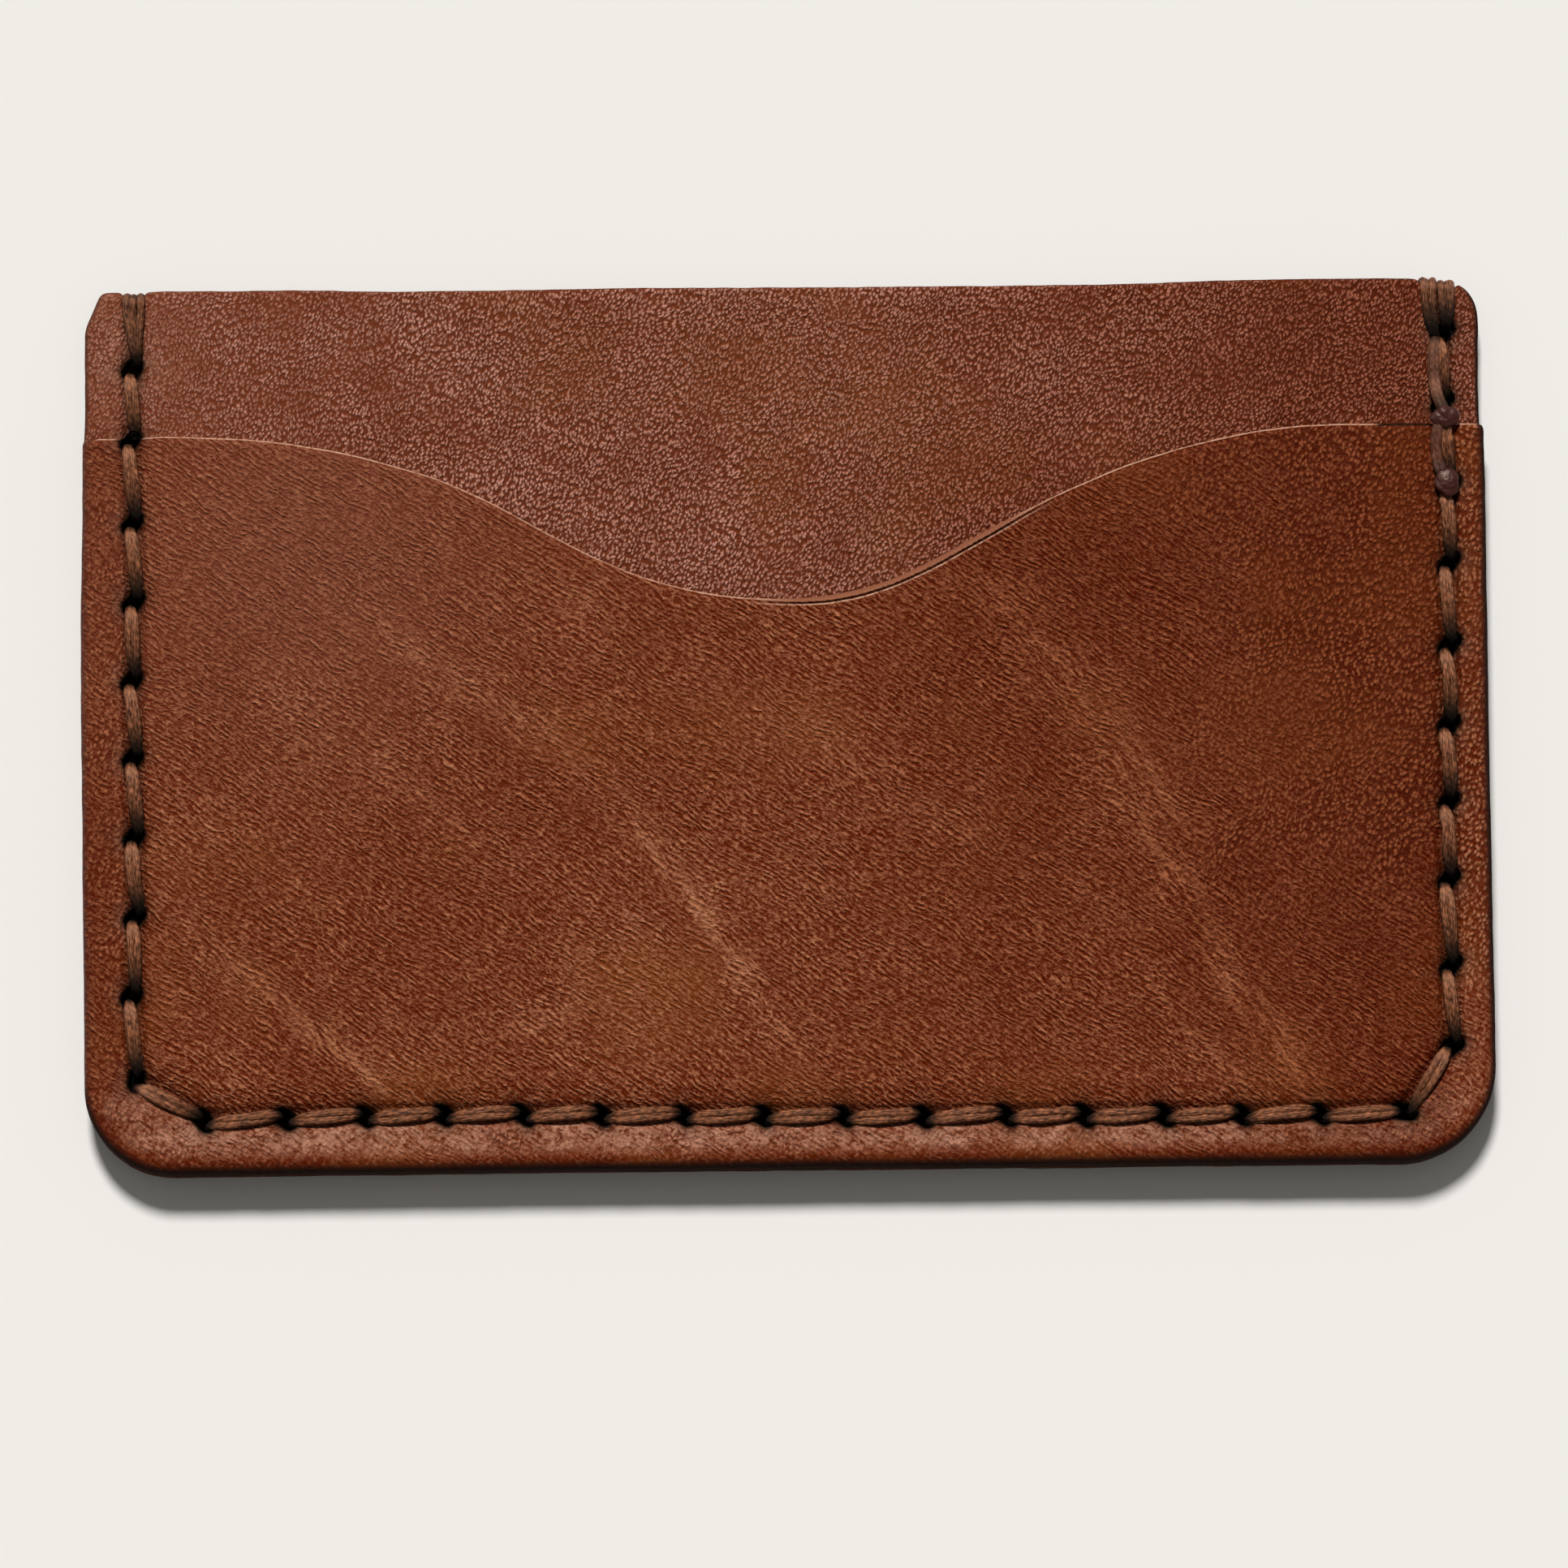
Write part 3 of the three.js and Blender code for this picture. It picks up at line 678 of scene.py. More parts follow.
def pocket_attrs(q, side, is_top):
    p = q[:, :2]
    e, where = pocket.near(p)
    m = on_loop(mouth, where)
    seg, u, v, run = seam_coords(p)
    hedge, centre = hole_distance(p)
    mid = np.sin(np.pi * np.clip(u, 0, 1))
    w = 0.47 + 0.17 * mid
    bed = 1 - smoothstep(w - 0.12, w + 0.30, np.abs(v - 0.02))
    dark, stain = border_attrs(p, seg, u, v, hedge, centre, bed)
    top = is_top > 0.9
    r = on_loop(pocket_radius, where)
    edge = np.where(top, 1 - smoothstep(0.06, 0.62, e / np.maximum(r, 0.05)), np.where(is_top < 0.1, 0.35, 1.0))
    edge = np.where(top, edge * (1 - 0.70 * (1 - smoothstep(-49.4, -46.5, p[:, 0])) * smoothstep(-27.5, -24, p[:, 1])), edge)
    wall = (side > 0.5) | ((is_top < 0.1) & (e < 0.05))
    # painted shade: the walls of the awl slits are coloured near-black
    on_slit = wall & (hedge < 0.1)
    edge = np.where(m > 0.5, np.where(wall, 0.45, 0.0), edge)
    edge = np.where(on_slit, 1.0, edge)
    dark = np.where(on_slit, 1.0, dark)
    tone, warm = colour_fields(p, "pocket")
    # lip above zero marks the bevel strip with its painted highlight; below zero, on the right, a painted shadow line
    # in the gap under the lip
    lip = m * smoothstep(-3.5, 1.0, p[:, 0]) * (1 - smoothstep(15.0, 20.0, p[:, 0]))
    lip = lip - m * smoothstep(41.6, 42.6, p[:, 0]) * (1 - smoothstep(46.6, 47.2, p[:, 0]))
    rim = np.where(top & (m > 0.5), e - on_loop(_sw, where), 9.0)
    iso = np.clip(smoothstep(14, 44, p[:, 0] + 5 * fbm(p[:, 0] / 9, p[:, 1] / 9, 71, 2)) * smoothstep(-26, -2, p[:, 1]) * 0.75, 0, 1)
    return {
        "edge": edge, "hole": dark, "stain": stain, "tone": tone, "warm": warm,
        "streak": streaks(p) * (is_top > 0.4), "iso": iso, "lip": lip, "rim": rim,
        "flat": smoothstep(0.25, 0.8, v) * smoothstep(-26, -28.5, p[:, 1]) * (1 - smoothstep(0.9, 1.7, e)),
        # the last mask is a painted sheen on the upper left of the pocket
        "border": smoothstep(0.35, 1.0, v) * (is_top > 0.9), "veil": 0.42 * gauss(np.hypot(p[:, 0] + 34, p[:, 1] - 14), 14) * top,
        # painted highlight on the border below the stitches and round the holes, less of it to the right
        "glow": smoothstep(0.35, 0.8, v) * np.clip(smoothstep(-25, -28.0, p[:, 1]) * smoothstep(0.7, 1.9, e) * (1 - 0.55 * smoothstep(15, 44, p[:, 0]))
                                               + 0.30 * gauss(centre - 0.9, 0.7), 0, 1) * top,
    }


sparse = [0.09 + 0 * pocket.loop[:, 0], 0.3 + 0 * pocket.loop[:, 0]]
pocket_piece = build_panel(
    "pocket_leather", pocket, pocket_slits, None, None,
    ((pocket_rings, 0.40), dict(band=1.55, band_spacing=0.21)),
    ((sparse, 1.3), {}),
    pocket_top_z, pocket_bottom_z, pocket_attrs)

# ------------------------------------------------------------------ the middle panel
middle = Outline(tall_loop(7, 0.0))
_ml = middle.loop
_open = blend_loop(_ml[:, 1] > 21.5, 3.0)
_top_edge = blend_loop((_ml[:, 1] > 31.0) & (np.abs(_ml[:, 0]) < 48.6), 3.0)
middle_radius = 0.10 * (1 - _open) + _open * (0.62 * (1 - _top_edge) + 0.26 * _top_edge)
all_slits = list(range(0, 36))


def middle_top_z(p):
    e, where = middle.near(p)
    seg, u, v, run = seam_coords(p)
    up = smoothstep(0.75, 2.3, -v)
    z = MID_TOP + RELIEF * up
    shown = smoothstep(6.0, 9.0, p[:, 1])
    z += shown * waviness(p, 33) * 0.8 * (0.3 + 0.7 * up)
    above = smoothstep(20.9, 21.7, p[:, 1])
    press, bed, edge, centre, mid = stitch_press(p, 0.34, seg, u, v)
    z += above * press
    # the top edge is a little beaten
    te = on_loop(_top_edge, where)
    z -= te * (0.06 * gauss(e, 0.8) - 0.03 * fbm(p[:, 0] / 1.4, p[:, 1] * 0, 35, 3) * gauss(e, 0.6))
    # a faint print of the pocket's lip where it presses
    z = np.minimum(z, MID_TOP + 2 * RELIEF * up - 0.02 + 0.5 * smoothstep(0.0, 1.5, p[:, 1] - mouth_y(p[:, 0])))
    return z - quarter(e, on_loop(middle_radius, where))


_my = pocket.loop[(mouth > 0.5)]
_my = _my[np.argsort(_my[:, 0])]


def mouth_y(x):
    return np.interp(x, _my[:, 0], _my[:, 1])


def middle_bottom_z(p):
    e, where = middle.near(p)
    return BACK_TOP + RELIEF * lift(p) + 0.01 + quarter(e, np.full(len(p), 0.08))


def middle_attrs(q, side, is_top):
    p = q[:, :2]
    e, where = middle.near(p)
    seg, u, v, run = seam_coords(p)
    hedge, centre = hole_distance(p)
    mid = np.sin(np.pi * np.clip(u, 0, 1))
    w = 0.47 + 0.17 * mid
    bed = 1 - smoothstep(w - 0.12, w + 0.30, np.abs(v - 0.02))
    dark, stain = border_attrs(p, seg, u, v, hedge, centre, bed)
    top = is_top > 0.9
    r = on_loop(middle_radius, where)
    te = on_loop(_top_edge, where)
    edge = np.where(top, (1 - smoothstep(0.12, 0.62, e / np.maximum(r, 0.05))) * (1 - 0.55 * te), 1.0)
    edge = np.where(top, edge * (1 - 0.45 * (1 - smoothstep(-49.2, -46.5, p[:, 0]))), edge)
    edge = np.where(is_top < 0.1, 0.35, edge)
    # painted shade: the walls of the awl slits are coloured near-black
    on_slit = (side > 0.5) & (hedge < 0.1)
    dark = np.where(on_slit, 1.0, dark)
    # painted shade where the panel runs under the pocket's lip
    below = 1 - smoothstep(-0.6, 0.25, p[:, 1] - mouth_y(p[:, 0]))
    tone, warm = colour_fields(p, "middle")
    return {
        "edge": edge, "hole": dark, "stain": np.clip(stain + 0.5 * below * top, 0, 1), "tone": tone, "warm": warm,
        "streak": np.zeros(len(p)), "iso": np.ones(len(p)), "lip": np.zeros(len(p)), "rim": 9.0 + 0 * te,
        "flat": 1 - smoothstep(-44, -14, p[:, 0]), "border": smoothstep(0.35, 1.0, v) * (is_top > 0.9),
        # painted highlight round the top-left wrap and round the holes
        "glow": (0.55 * gauss(np.hypot(p[:, 0] + 47.5, p[:, 1] - 28), 4.5) + 0.35 * gauss(centre - 0.9, 0.8)) * top,
    }


def hidden(p):
    return p[:, 1] < mouth_y(p[:, 0]) - 1.5


sparse_m = [0.09 + 0 * _ml[:, 0], 0.3 + 0 * _ml[:, 0]]
middle_piece = build_panel(
    "middle_leather", middle, all_slits, None, None,
    ((ring_arrays(np.maximum(middle_radius, 0.2)), 0.40), dict(band=1.55, band_spacing=0.21, coarse=(hidden, 1.2))),
    ((sparse_m, 1.3), {}),
    middle_top_z, middle_bottom_z, middle_attrs)

# ------------------------------------------------------------------ the back panel
back = Outline(tall_loop(13, 0.05))
_bl = back.loop
_back_top = blend_loop((_bl[:, 1] > 31.0) & (np.abs(_bl[:, 0]) < 48.6), 3.0)
back_radius = 0.80 * (1 - _back_top) + 0.35 * _back_top


def back_bottom_z(p):
    e, where = back.near(p)
    seg, u, v, run = seam_coords(p)
    mid = np.sin(np.pi * np.clip(u, 0, 1))
    w = 0.50 + 0.12 * mid
    bed = 1 - smoothstep(w - 0.10, w + 0.30, np.abs(v))
    edge, centre = hole_distance(p)
    z = 0.02 + 0.64 * bed + 0.10 * gauss(centre, 1.0) * bed
    # lies flat on most of its back, eased up a little between the places where it rests
    z += 0.05 * np.clip(fbm(p[:, 0] / 15, p[:, 1] / 15, 51, 2) + 0.5, 0, 1.5)
    z += 0.018 * smoothstep(0.3, 0.9, v) * (1 + fbm(p[:, 0] / 0.6, p[:, 1] / 0.6, 52, 2))
    return z + quarter(e, on_loop(back_radius, where))


def back_top_z(p):
    e, where = back.near(p)
    te = on_loop(_back_top, where)
    return BACK_TOP - 0.0 - quarter(e, 0.08 * (1 - te) + 0.3 * te)


def back_attrs(q, side, is_top):
    p = q[:, :2]
    e, where = back.near(p)
    seg, u, v, run = seam_coords(p)
    hedge, centre = hole_distance(p)
    mid = np.sin(np.pi * np.clip(u, 0, 1))
    w = 0.50 + 0.12 * mid
    bed = 1 - smoothstep(w - 0.10, w + 0.30, np.abs(v))
    dark, stain = border_attrs(p, seg, u, v, hedge, centre, bed)
    r = on_loop(back_radius, where)
    te = on_loop(_back_top, where)
    under = is_top < 0.1
    edge = np.where(under, (1 - smoothstep(0.22, 0.72, e / np.maximum(r, 0.05))) * (1 - 0.4 * te), 1.0)
    edge = np.where(is_top > 0.9, 0.4, edge)
    # painted shade: the walls of the awl slits are coloured near-black
    on_slit = (side > 0.5) & (hedge < 0.1)
    dark = np.where(on_slit, 1.0, dark)
    tone, warm = colour_fields(p * [-1, 1] - [0, 47], "back")
    return {
        "edge": edge, "hole": dark, "stain": stain, "tone": tone, "warm": warm,
        "streak": np.zeros(len(p)), "iso": 0.4 + 0.5 * smoothstep(-0.5, 0.5, fbm(p[:, 0] / 20, p[:, 1] / 20, 53, 2)),
        "lip": np.zeros(len(p)), "rim": 9.0 + 0 * te, "flat": np.zeros(len(p)), "border": smoothstep(0.35, 1.0, v) * under,
        # the same painted highlight on the border of the underside
        "glow": 0.4 * smoothstep(0.35, 0.9, v) * under,
    }


sparse_b = [0.09 + 0 * _bl[:, 0], 0.3 + 0 * _bl[:, 0]]
back_piece = build_panel(
    "back_leather", back, all_slits, None, None,
    ((sparse_b, 1.3), {}),
    ((ring_arrays(back_radius), 0.46), dict(band=1.55, band_spacing=0.23)),
    back_top_z, back_bottom_z, back_attrs)


# ------------------------------------------------------------------ the saddle thread
def v3(p, z):
    return np.array([p[0], p[1], z])


def thread_level(i, y):
    """Height of the leather under the front stitch that starts at hole i."""
    if i < 0 or i >= LAST - 1:
        return MID_TOP + 0 * y
    if i == 0:
        return MID_TOP + 0 * y
    if i == LAST - 2:
        return POCKET_TOP + (MID_TOP - POCKET_TOP) * smoothstep(21.2, 22.5, y)
    return POCKET_TOP + 0 * y


E_SIDE = 0.30
E_ALONG = 0.42


def enter(i):
    return HOLES[i] - E_ALONG * TANGENT[i] - E_SIDE * OUTWARD[i] + 0.04 * OUTWARD[i]


def leave(i):
    return HOLES[i] + E_ALONG * TANGENT[i] + E_SIDE * OUTWARD[i] + 0.04 * OUTWARD[i]


def put(path, pts, lat, a, b, dark, turn=None):
    path["t"].append(np.full(len(pts), path["turn"]) if turn is None else turn)
    path["p"].append(pts)
    path["l"].append(lat)
    path["a"].append(a)
    path["b"].append(b)
    path["d"].append(dark)


def front_stitch(path, i, p0=None, p1=None, wide=0.57, n=70, shift=0.0, high=0.0):
    """An arched stitch on the front from hole i to hole i + 1. On the sides it stands highest near its upper end."""
    a = leave(i) if p0 is None else np.asarray(p0, float)
    b = enter(i + 1) if p1 is None else np.asarray(p1, float)
    k = hash2(np.array([i]), np.array([21]), 6)[0]
    k2 = hash2(np.array([i]), np.array([22]), 9)[0]
    s = np.linspace(0, 1, n)
    slope = (b[1] - a[1]) / np.linalg.norm(b - a)
    skew = np.where(slope < 0, s ** (1 + 0.30 * slope), 1 - (1 - s) ** (1 - 0.30 * slope))
    f = np.clip(1 - np.abs(2 * skew - 1) ** 2.2, 0, 1) ** 0.75
    na, nb = OUTWARD[max(i, 0)], OUTWARD[min(i + 1, LAST)]
    lat = na * (1 - s[:, None]) + nb * s[:, None]
    xy = a + (b - a) * s[:, None] + lat * (shift + 0.06 * k) * np.sin(np.pi * s)[:, None]
    level = thread_level(i, xy[:, 1])
    top = level + 0.13 + 0.05 * k + high
    low = level - 0.80
    z = low + (top - low) * f
    w = wide * (1 + 0.05 * k)
    half = 0.42 + (w - 0.42) * smoothstep(0.0, 0.2, s) * (1 - smoothstep(0.80, 1.0, s))
    thick = 0.30 + 0.07 * np.sin(np.pi * s)
    # painted shade where the stitch sinks into its holes, reaching further along the lower end of the side stitches,
    # which faces away from the key light
    start_soft = 0.17 + 0.22 * max(slope, 0) - 0.10 * max(-slope, 0)
    end_soft = 0.18 + 0.24 * max(-slope, 0) - 0.11 * max(slope, 0)
    dark = np.maximum(1 - smoothstep(0.01, start_soft, s), smoothstep(1 - end_soft, 0.985, s))
    turn = 0.5 * math.pi + (0.75 + 0.25 * k2) * (s - 0.5) * 2 + 0.35 * k2
    put(path, np.column_stack([xy, z]), np.column_stack([lat, 0 * s]), half, thick, dark, turn)
    path["turn"] = turn[-1]


def back_stitch(path, i, p0=None, p1=None, n=60):
    a = enter(i) if p0 is None else np.asarray(p0, float)
    b = leave(i + 1) if p1 is None else np.asarray(p1, float)
    s = np.linspace(0, 1, n)
    f = np.clip(1 - np.abs(2 * s - 1) ** 3.2, 0, 1) ** 0.72
    na, nb = OUTWARD[max(i, 0)], OUTWARD[min(i + 1, LAST)]
    lat = na * (1 - s[:, None]) + nb * s[:, None]
    xy = a + (b - a) * s[:, None]
    z = 0.85 + (0.35 - 0.85) * f
    half = 0.33 + 0.14 * smoothstep(0.0, 0.3, s) * (1 - smoothstep(0.70, 1.0, s))
    # painted shade where the stitch goes into its holes
    dark = 0.8 * np.maximum(1 - smoothstep(0.02, 0.10, s), smoothstep(0.90, 0.98, s))
    turn = -0.5 * math.pi + 1.7 * (s - 0.5)
    put(path, np.column_stack([xy, z]), np.column_stack([lat, 0 * s]), half, 0.27 + 0 * s, dark, turn)
    path["turn"] = turn[-1]


def through(path, q, lat, z0, z1, n=14):
    s = np.linspace(0, 1, n)[1:-1]
    z = z0 + (z1 - z0) * s
    put(path, np.column_stack([np.tile(q, (len(s), 1)), z]), np.tile([lat[0], lat[1], 0.0], (len(s), 1)),
        0.32 + 0 * s, 0.30 + 0 * s, 1 + 0 * s)


def over_edge(path, pts, lat, halves, thick, dark, n=50):
    """A run of thread over the top edge, through the given points."""
    q = spline(np.asarray(pts, float), 0.06)
    s = np.linspace(0, 1, len(q))
    k = np.linspace(0, 1, len(halves))
    # the dark values given along a run are painted shade, deepest where it turns into a hole
    put(path, q, np.tile(lat, (len(q), 1)), np.interp(s, k, halves), np.interp(s, k, thick), np.interp(s, k, dark))


def level_at_hole(i):
    return float(MID_TOP if (i == 0 or i >= LAST - 1) else POCKET_TOP)


def new_path():
    return {"p": [], "l": [], "a": [], "b": [], "d": [], "t": [], "turn": 0.5 * math.pi}


def saddle(first_down):
    path = new_path()
    h0, h1 = HOLES[0], HOLES[LAST]
    wl = [-1.0, 0.0, 0.0]
    if first_down:
        e = enter(0)
        over_edge(path, [(-46.40, 31.80, 1.35), (-46.40, 31.86, 1.8), (-46.40, 31.80, 2.42), (-46.38, 31.42, 2.84),
                         (-46.36, 30.5, 2.86), (-46.34, 29.4, 2.84), (e[0] - 0.1, 28.2, 2.74), (e[0], e[1] + 0.5, 2.5), (e[0], e[1] + 0.05, 2.0)],
                  wl, [0.80, 0.86, 0.90, 0.88, 0.80, 0.66, 0.56, 0.46, 0.36], [0.27, 0.28, 0.28, 0.30, 0.32, 0.34, 0.34, 0.32, 0.3],
                  [0.45, 0.42, 0.36, 0.30, 0.22, 0.26, 0.40, 0.75, 1.0])
    else:
        q = leave(0)
        over_edge(path, [(-46.40, 31.80, 1.35), (-46.40, 31.72, 0.9), (-46.42, 31.42, 0.50), (-46.44, 31.0, 0.36), (-46.5, 30.0, 0.34),
                         (-46.6, 28.6, 0.34), (q[0] - 0.02, q[1] + 0.9, 0.36), (q[0], q[1] + 0.3, 0.5), (q[0], q[1] + 0.02, 0.85)],
                  wl, [0.80, 0.76, 0.66, 0.56, 0.46, 0.44, 0.42, 0.38, 0.34], [0.27] * 9, [0.1, 0, 0, 0, 0, 0, 0.1, 0.5, 1.0])
    for i in range(LAST + 1):
        down = (i % 2 == 0) == first_down
        if down:
            through(path, enter(i), OUTWARD[i], level_at_hole(i) - 0.80, 0.85)
            if i < LAST:
                back_stitch(path, i)
        else:
            through(path, leave(i), OUTWARD[i], 0.85, level_at_hole(i) - 0.80)
            if i < LAST:
                front_stitch(path, i)
    wr = [1.0, 0.0, 0.0]
    if not ((LAST % 2 == 0) == first_down):
        q = leave(LAST)
        over_edge(path, [(q[0], q[1] + 0.02, 1.9), (q[0] - 0.02, q[1] + 0.35, 2.5), (47.34, 29.9, 2.84), (47.32, 30.8, 2.88), (47.30, 31.42, 2.84),
                         (47.30, 31.76, 2.42), (47.30, 31.82, 1.9), (47.28, 31.74, 0.9), (47.2, 31.45, 0.50), (47.15, 31.0, 0.36), (47.1, 29.8, 0.34),
                         (47.1, 29.2, 0.5)],
                  wr, [0.42, 0.50, 0.60, 0.64, 0.66, 0.66, 0.64, 0.56, 0.52, 0.5, 0.44, 0.3], [0.3, 0.32, 0.34, 0.33, 0.30] + [0.28] * 7,
                  [1.0, 0.98, 0.80, 0.42, 0.25, 0.25, 0.2, 0, 0, 0, 0, 0.6])
    else:
        q = enter(LAST)
        over_edge(path, [(q[0], q[1] - 0.02, 0.85), (q[0] - 0.02, q[1] + 0.5, 0.36), (46.4, 29.6, 0.34), (46.15, 30.9, 0.36), (46.05, 31.40, 0.50),
                         (46.0, 31.84, 0.95), (45.98, 32.0, 1.8), (45.98, 31.94, 2.45), (45.98, 31.50, 2.92), (46.0, 30.6, 2.98), (46.08, 29.6, 2.90),
                         (46.25, 28.6, 2.70), (46.42, 27.95, 2.2), (46.5, 27.7, 1.6)],
                  wr, [0.34, 0.42, 0.46, 0.52, 0.60, 0.66, 0.68, 0.68, 0.66, 0.62, 0.60, 0.52, 0.42, 0.34], [0.27] * 6 + [0.3, 0.31, 0.33, 0.34, 0.34, 0.34, 0.32, 0.3],
                  [1.0, 0.5, 0, 0, 0, 0, 0.2, 0.25, 0.25, 0.35, 0.72, 0.95, 1.0, 1.0])
    return path


def rope(name, path, ply_r=0.265, step=0.17, sides=8, plies=3, phase=0.0, extra=None):
    """Sweeps plies along a path, flattened to the half width and half thickness given on the way."""
    P = np.vstack(path["p"])
    L = np.vstack(path["l"])
    A, B, D, W = (np.concatenate(path[k]) for k in ("a", "b", "d", "t"))
    keep = np.concatenate([[True], np.linalg.norm(np.diff(P, axis=0), axis=1) > 1e-4])
    P, L, A, B, D, W = P[keep], L[keep], A[keep], B[keep], D[keep], W[keep]
    s = np.concatenate([[0], np.cumsum(np.linalg.norm(np.diff(P, axis=0), axis=1))])
    fine = np.arange(0, s[-1], 0.04)
    cols = np.column_stack([P, L, A, B, D, W])
    cols = np.stack([np.interp(fine, s, cols[:, k]) for k in range(cols.shape[1])], 1)
    # round the corners off
    sig, n = 3.2, 10
    k = np.exp(-0.5 * (np.arange(-n, n + 1) / sig) ** 2)
    k /= k.sum()
    pad = np.vstack([np.repeat(cols[:1], n, 0), cols, np.repeat(cols[-1:], n, 0)])
    cols = np.stack([np.convolve(pad[:, c], k, "valid") for c in range(cols.shape[1])], 1)
    P = cols[:, :3]
    s = np.concatenate([[0], np.cumsum(np.linalg.norm(np.diff(P, axis=0), axis=1))])
    at = np.linspace(0, s[-1], int(s[-1] / step) + 1)
    cols = np.stack([np.interp(at, s, cols[:, c]) for c in range(cols.shape[1])], 1)
    P, L, A, B, D, W = cols[:, :3], cols[:, 3:6], cols[:, 6], cols[:, 7], cols[:, 8], cols[:, 9]
    T = np.gradient(P, axis=0)
    T /= np.linalg.norm(T, axis=1)[:, None]
    S = L - (L * T).sum(1)[:, None] * T
    S /= np.linalg.norm(S, axis=1)[:, None]
    U = np.cross(T, S)
    # how far the thread's upper side turns towards +Y, where the key light comes from; it drives a painted highlight
    # and painted shade in the thread colour
    up = U * np.where(U[:, 2:] < 0, -1, 1)
    rise = np.maximum(up[:, 1], 0)
    facing = np.clip(0.5 + np.where(up[:, 1] > 0, rise * np.exp(-(rise / 0.62) ** 6), up[:, 1] - 0.04), 0, 1)
    m = len(P)
    verts, faces, uv, dark, plyid, lit = [], [], [], [], [], []
    base = 0
    kk = np.arange(m)
    for j in range(plies):
        ph = phase + 2 * np.pi * j / plies + W + 0.22 * noise(at / 2.1, at * 0 + j * 5.0, 7)
        r = ply_r * (1 + 0.07 * noise(at / 0.8, at * 0 + j * 3.0, 17))
        # the plies lie side by side: wide offsets across, small ones up and down
        rx = np.minimum(r * 1.12, A * 0.60)
        rz = np.minimum(r, B * 0.86)
        cx = np.cos(ph) * np.maximum(A - rx, 0.05)
        cz = np.sin(ph) * np.maximum(B - rz, 0.03)
        C = P + S * cx[:, None] + U * cz[:, None]
        ang = 2 * np.pi * np.arange(sides) / sides
        for a in ang:
            # each ply is itself two yarns: a shallow waist that winds round it
            lobes = 1 + 0.06 * np.cos(2 * (a - 2 * np.pi * at / 1.15))
            verts.append(C + S * (rx * lobes * math.cos(a))[:, None] + U * (rz * lobes * math.sin(a))[:, None])
            uv.append(np.column_stack([at, np.full(m, a / (2 * np.pi)) + j * 1.37]))
            dark.append(D)
            lit.append(facing)
            plyid.append(np.full(m, j / plies))
        for q in range(sides):
            q2 = (q + 1) % sides
            i0, i1 = base + q * m + kk[:-1], base + q2 * m + kk[:-1]
            faces.append(np.stack([i0, i1, i1 + 1], 1))
            faces.append(np.stack([i0, i1 + 1, i0 + 1], 1))
        # rounded ends
        for end, sign in ((0, -1.0), (m - 1, 1.0)):
            tip = base + sides * m + (0 if end == 0 else 1)
            for q in range(sides):
                q2 = (q + 1) % sides
                f = [base + q * m + end, base + q2 * m + end, tip]
                faces.append(np.array([f[::-1] if sign < 0 else f]))
        verts.append((C[:1] - T[:1] * 0.12))
        verts.append((C[-1:] + T[-1:] * 0.12))
        uv += [np.array([[at[0], 0.0]]), np.array([[at[-1], 0.0]])]
        dark += [D[:1], D[-1:]]
        lit += [facing[:1], facing[-1:]]
        plyid += [np.array([j / plies])] * 2
        base += sides * m + 2
    verts = np.vstack(verts)
    faces = np.vstack(faces)
    uv = np.vstack(uv)
    attrs = {"hole": np.concatenate(dark), "ply": np.concatenate(plyid), "lit": np.concatenate(lit)}
    # keep clear of the surface it lies on
    verts[:, 2] = np.maximum(verts[:, 2], 0.03)
    if extra is not None:
        verts, faces, uv, attrs = extra(verts, faces, uv, attrs)
    faces = faces[:, ::-1] if facing_in(verts, faces) else faces
    return make_mesh(name, verts, faces, attrs, uv)


def facing_in(v, f):
    a, b, c = v[f[:, 0]], v[f[:, 1]], v[f[:, 2]]
    return float((a * np.cross(b, c)).sum()) < 0


thread_a = rope("saddle_thread_a", saddle(True))
thread_b = rope("saddle_thread_b", saddle(False))


# ------------------------------------------------------------------ the melted ends
def bead_mesh(centre, rx, ry, rz, seed, ribs, tilt=0.0, nu=44, nv=26):
    """A blob of melted thread: a low dome with a skirt, ribbed where the strands still show."""
    verts, uvs = [], []
    ca, sa = math.cos(tilt), math.sin(tilt)
    for j in range(nv + 1):
        th = math.pi * j / nv
        for i in range(nu):
            ph = 2 * math.pi * i / nu
            d = np.array([math.sin(th) * math.cos(ph), math.sin(th) * math.sin(ph), math.cos(th)])
            x, y, z = d
            k = 1 + 0.10 * float(noise(np.array([x * 1.7 + seed]), np.array([y * 1.7 + z * 1.3]), seed)[0])
            k += 0.05 * float(noise(np.array([x * 4 + seed]), np.array([y * 4 + z * 3]), seed + 3)[0])
            k += ribs(x, y, z)
            zz = z * (1.0 if z > 0 else 0.55)
            flat = abs(zz) ** 0.85 * (1 if zz > 0 else -1)
            px, py = x * rx * k, y * ry * k
            verts.append([centre[0] + px * ca - py * sa, centre[1] + px * sa + py * ca, centre[2] + flat * rz * k])
            uvs.append([ph, th])
    faces = []
    for j in range(nv):
        for i in range(nu):
            a, b = j * nu + i, j * nu + (i + 1) % nu
            c, d = a + nu, b + nu
            if j > 0:
                faces.append([a, c, b])
            if j < nv - 1:
                faces.append([b, c, d])
    # the poles are one vertex each
    v = np.array(verts)
    f = np.array(faces)
    f[f < nu] = 0
    south = nv * nu
    f[f >= south] = south
    used = np.unique(f)
    remap = np.zeros(len(v), int)
    remap[used] = np.arange(len(used))
    ok = (f[:, 0] != f[:, 1]) & (f[:, 1] != f[:, 2]) & (f[:, 0] != f[:, 2])
    return v[used], remap[f[ok]], np.array(uvs)[used]


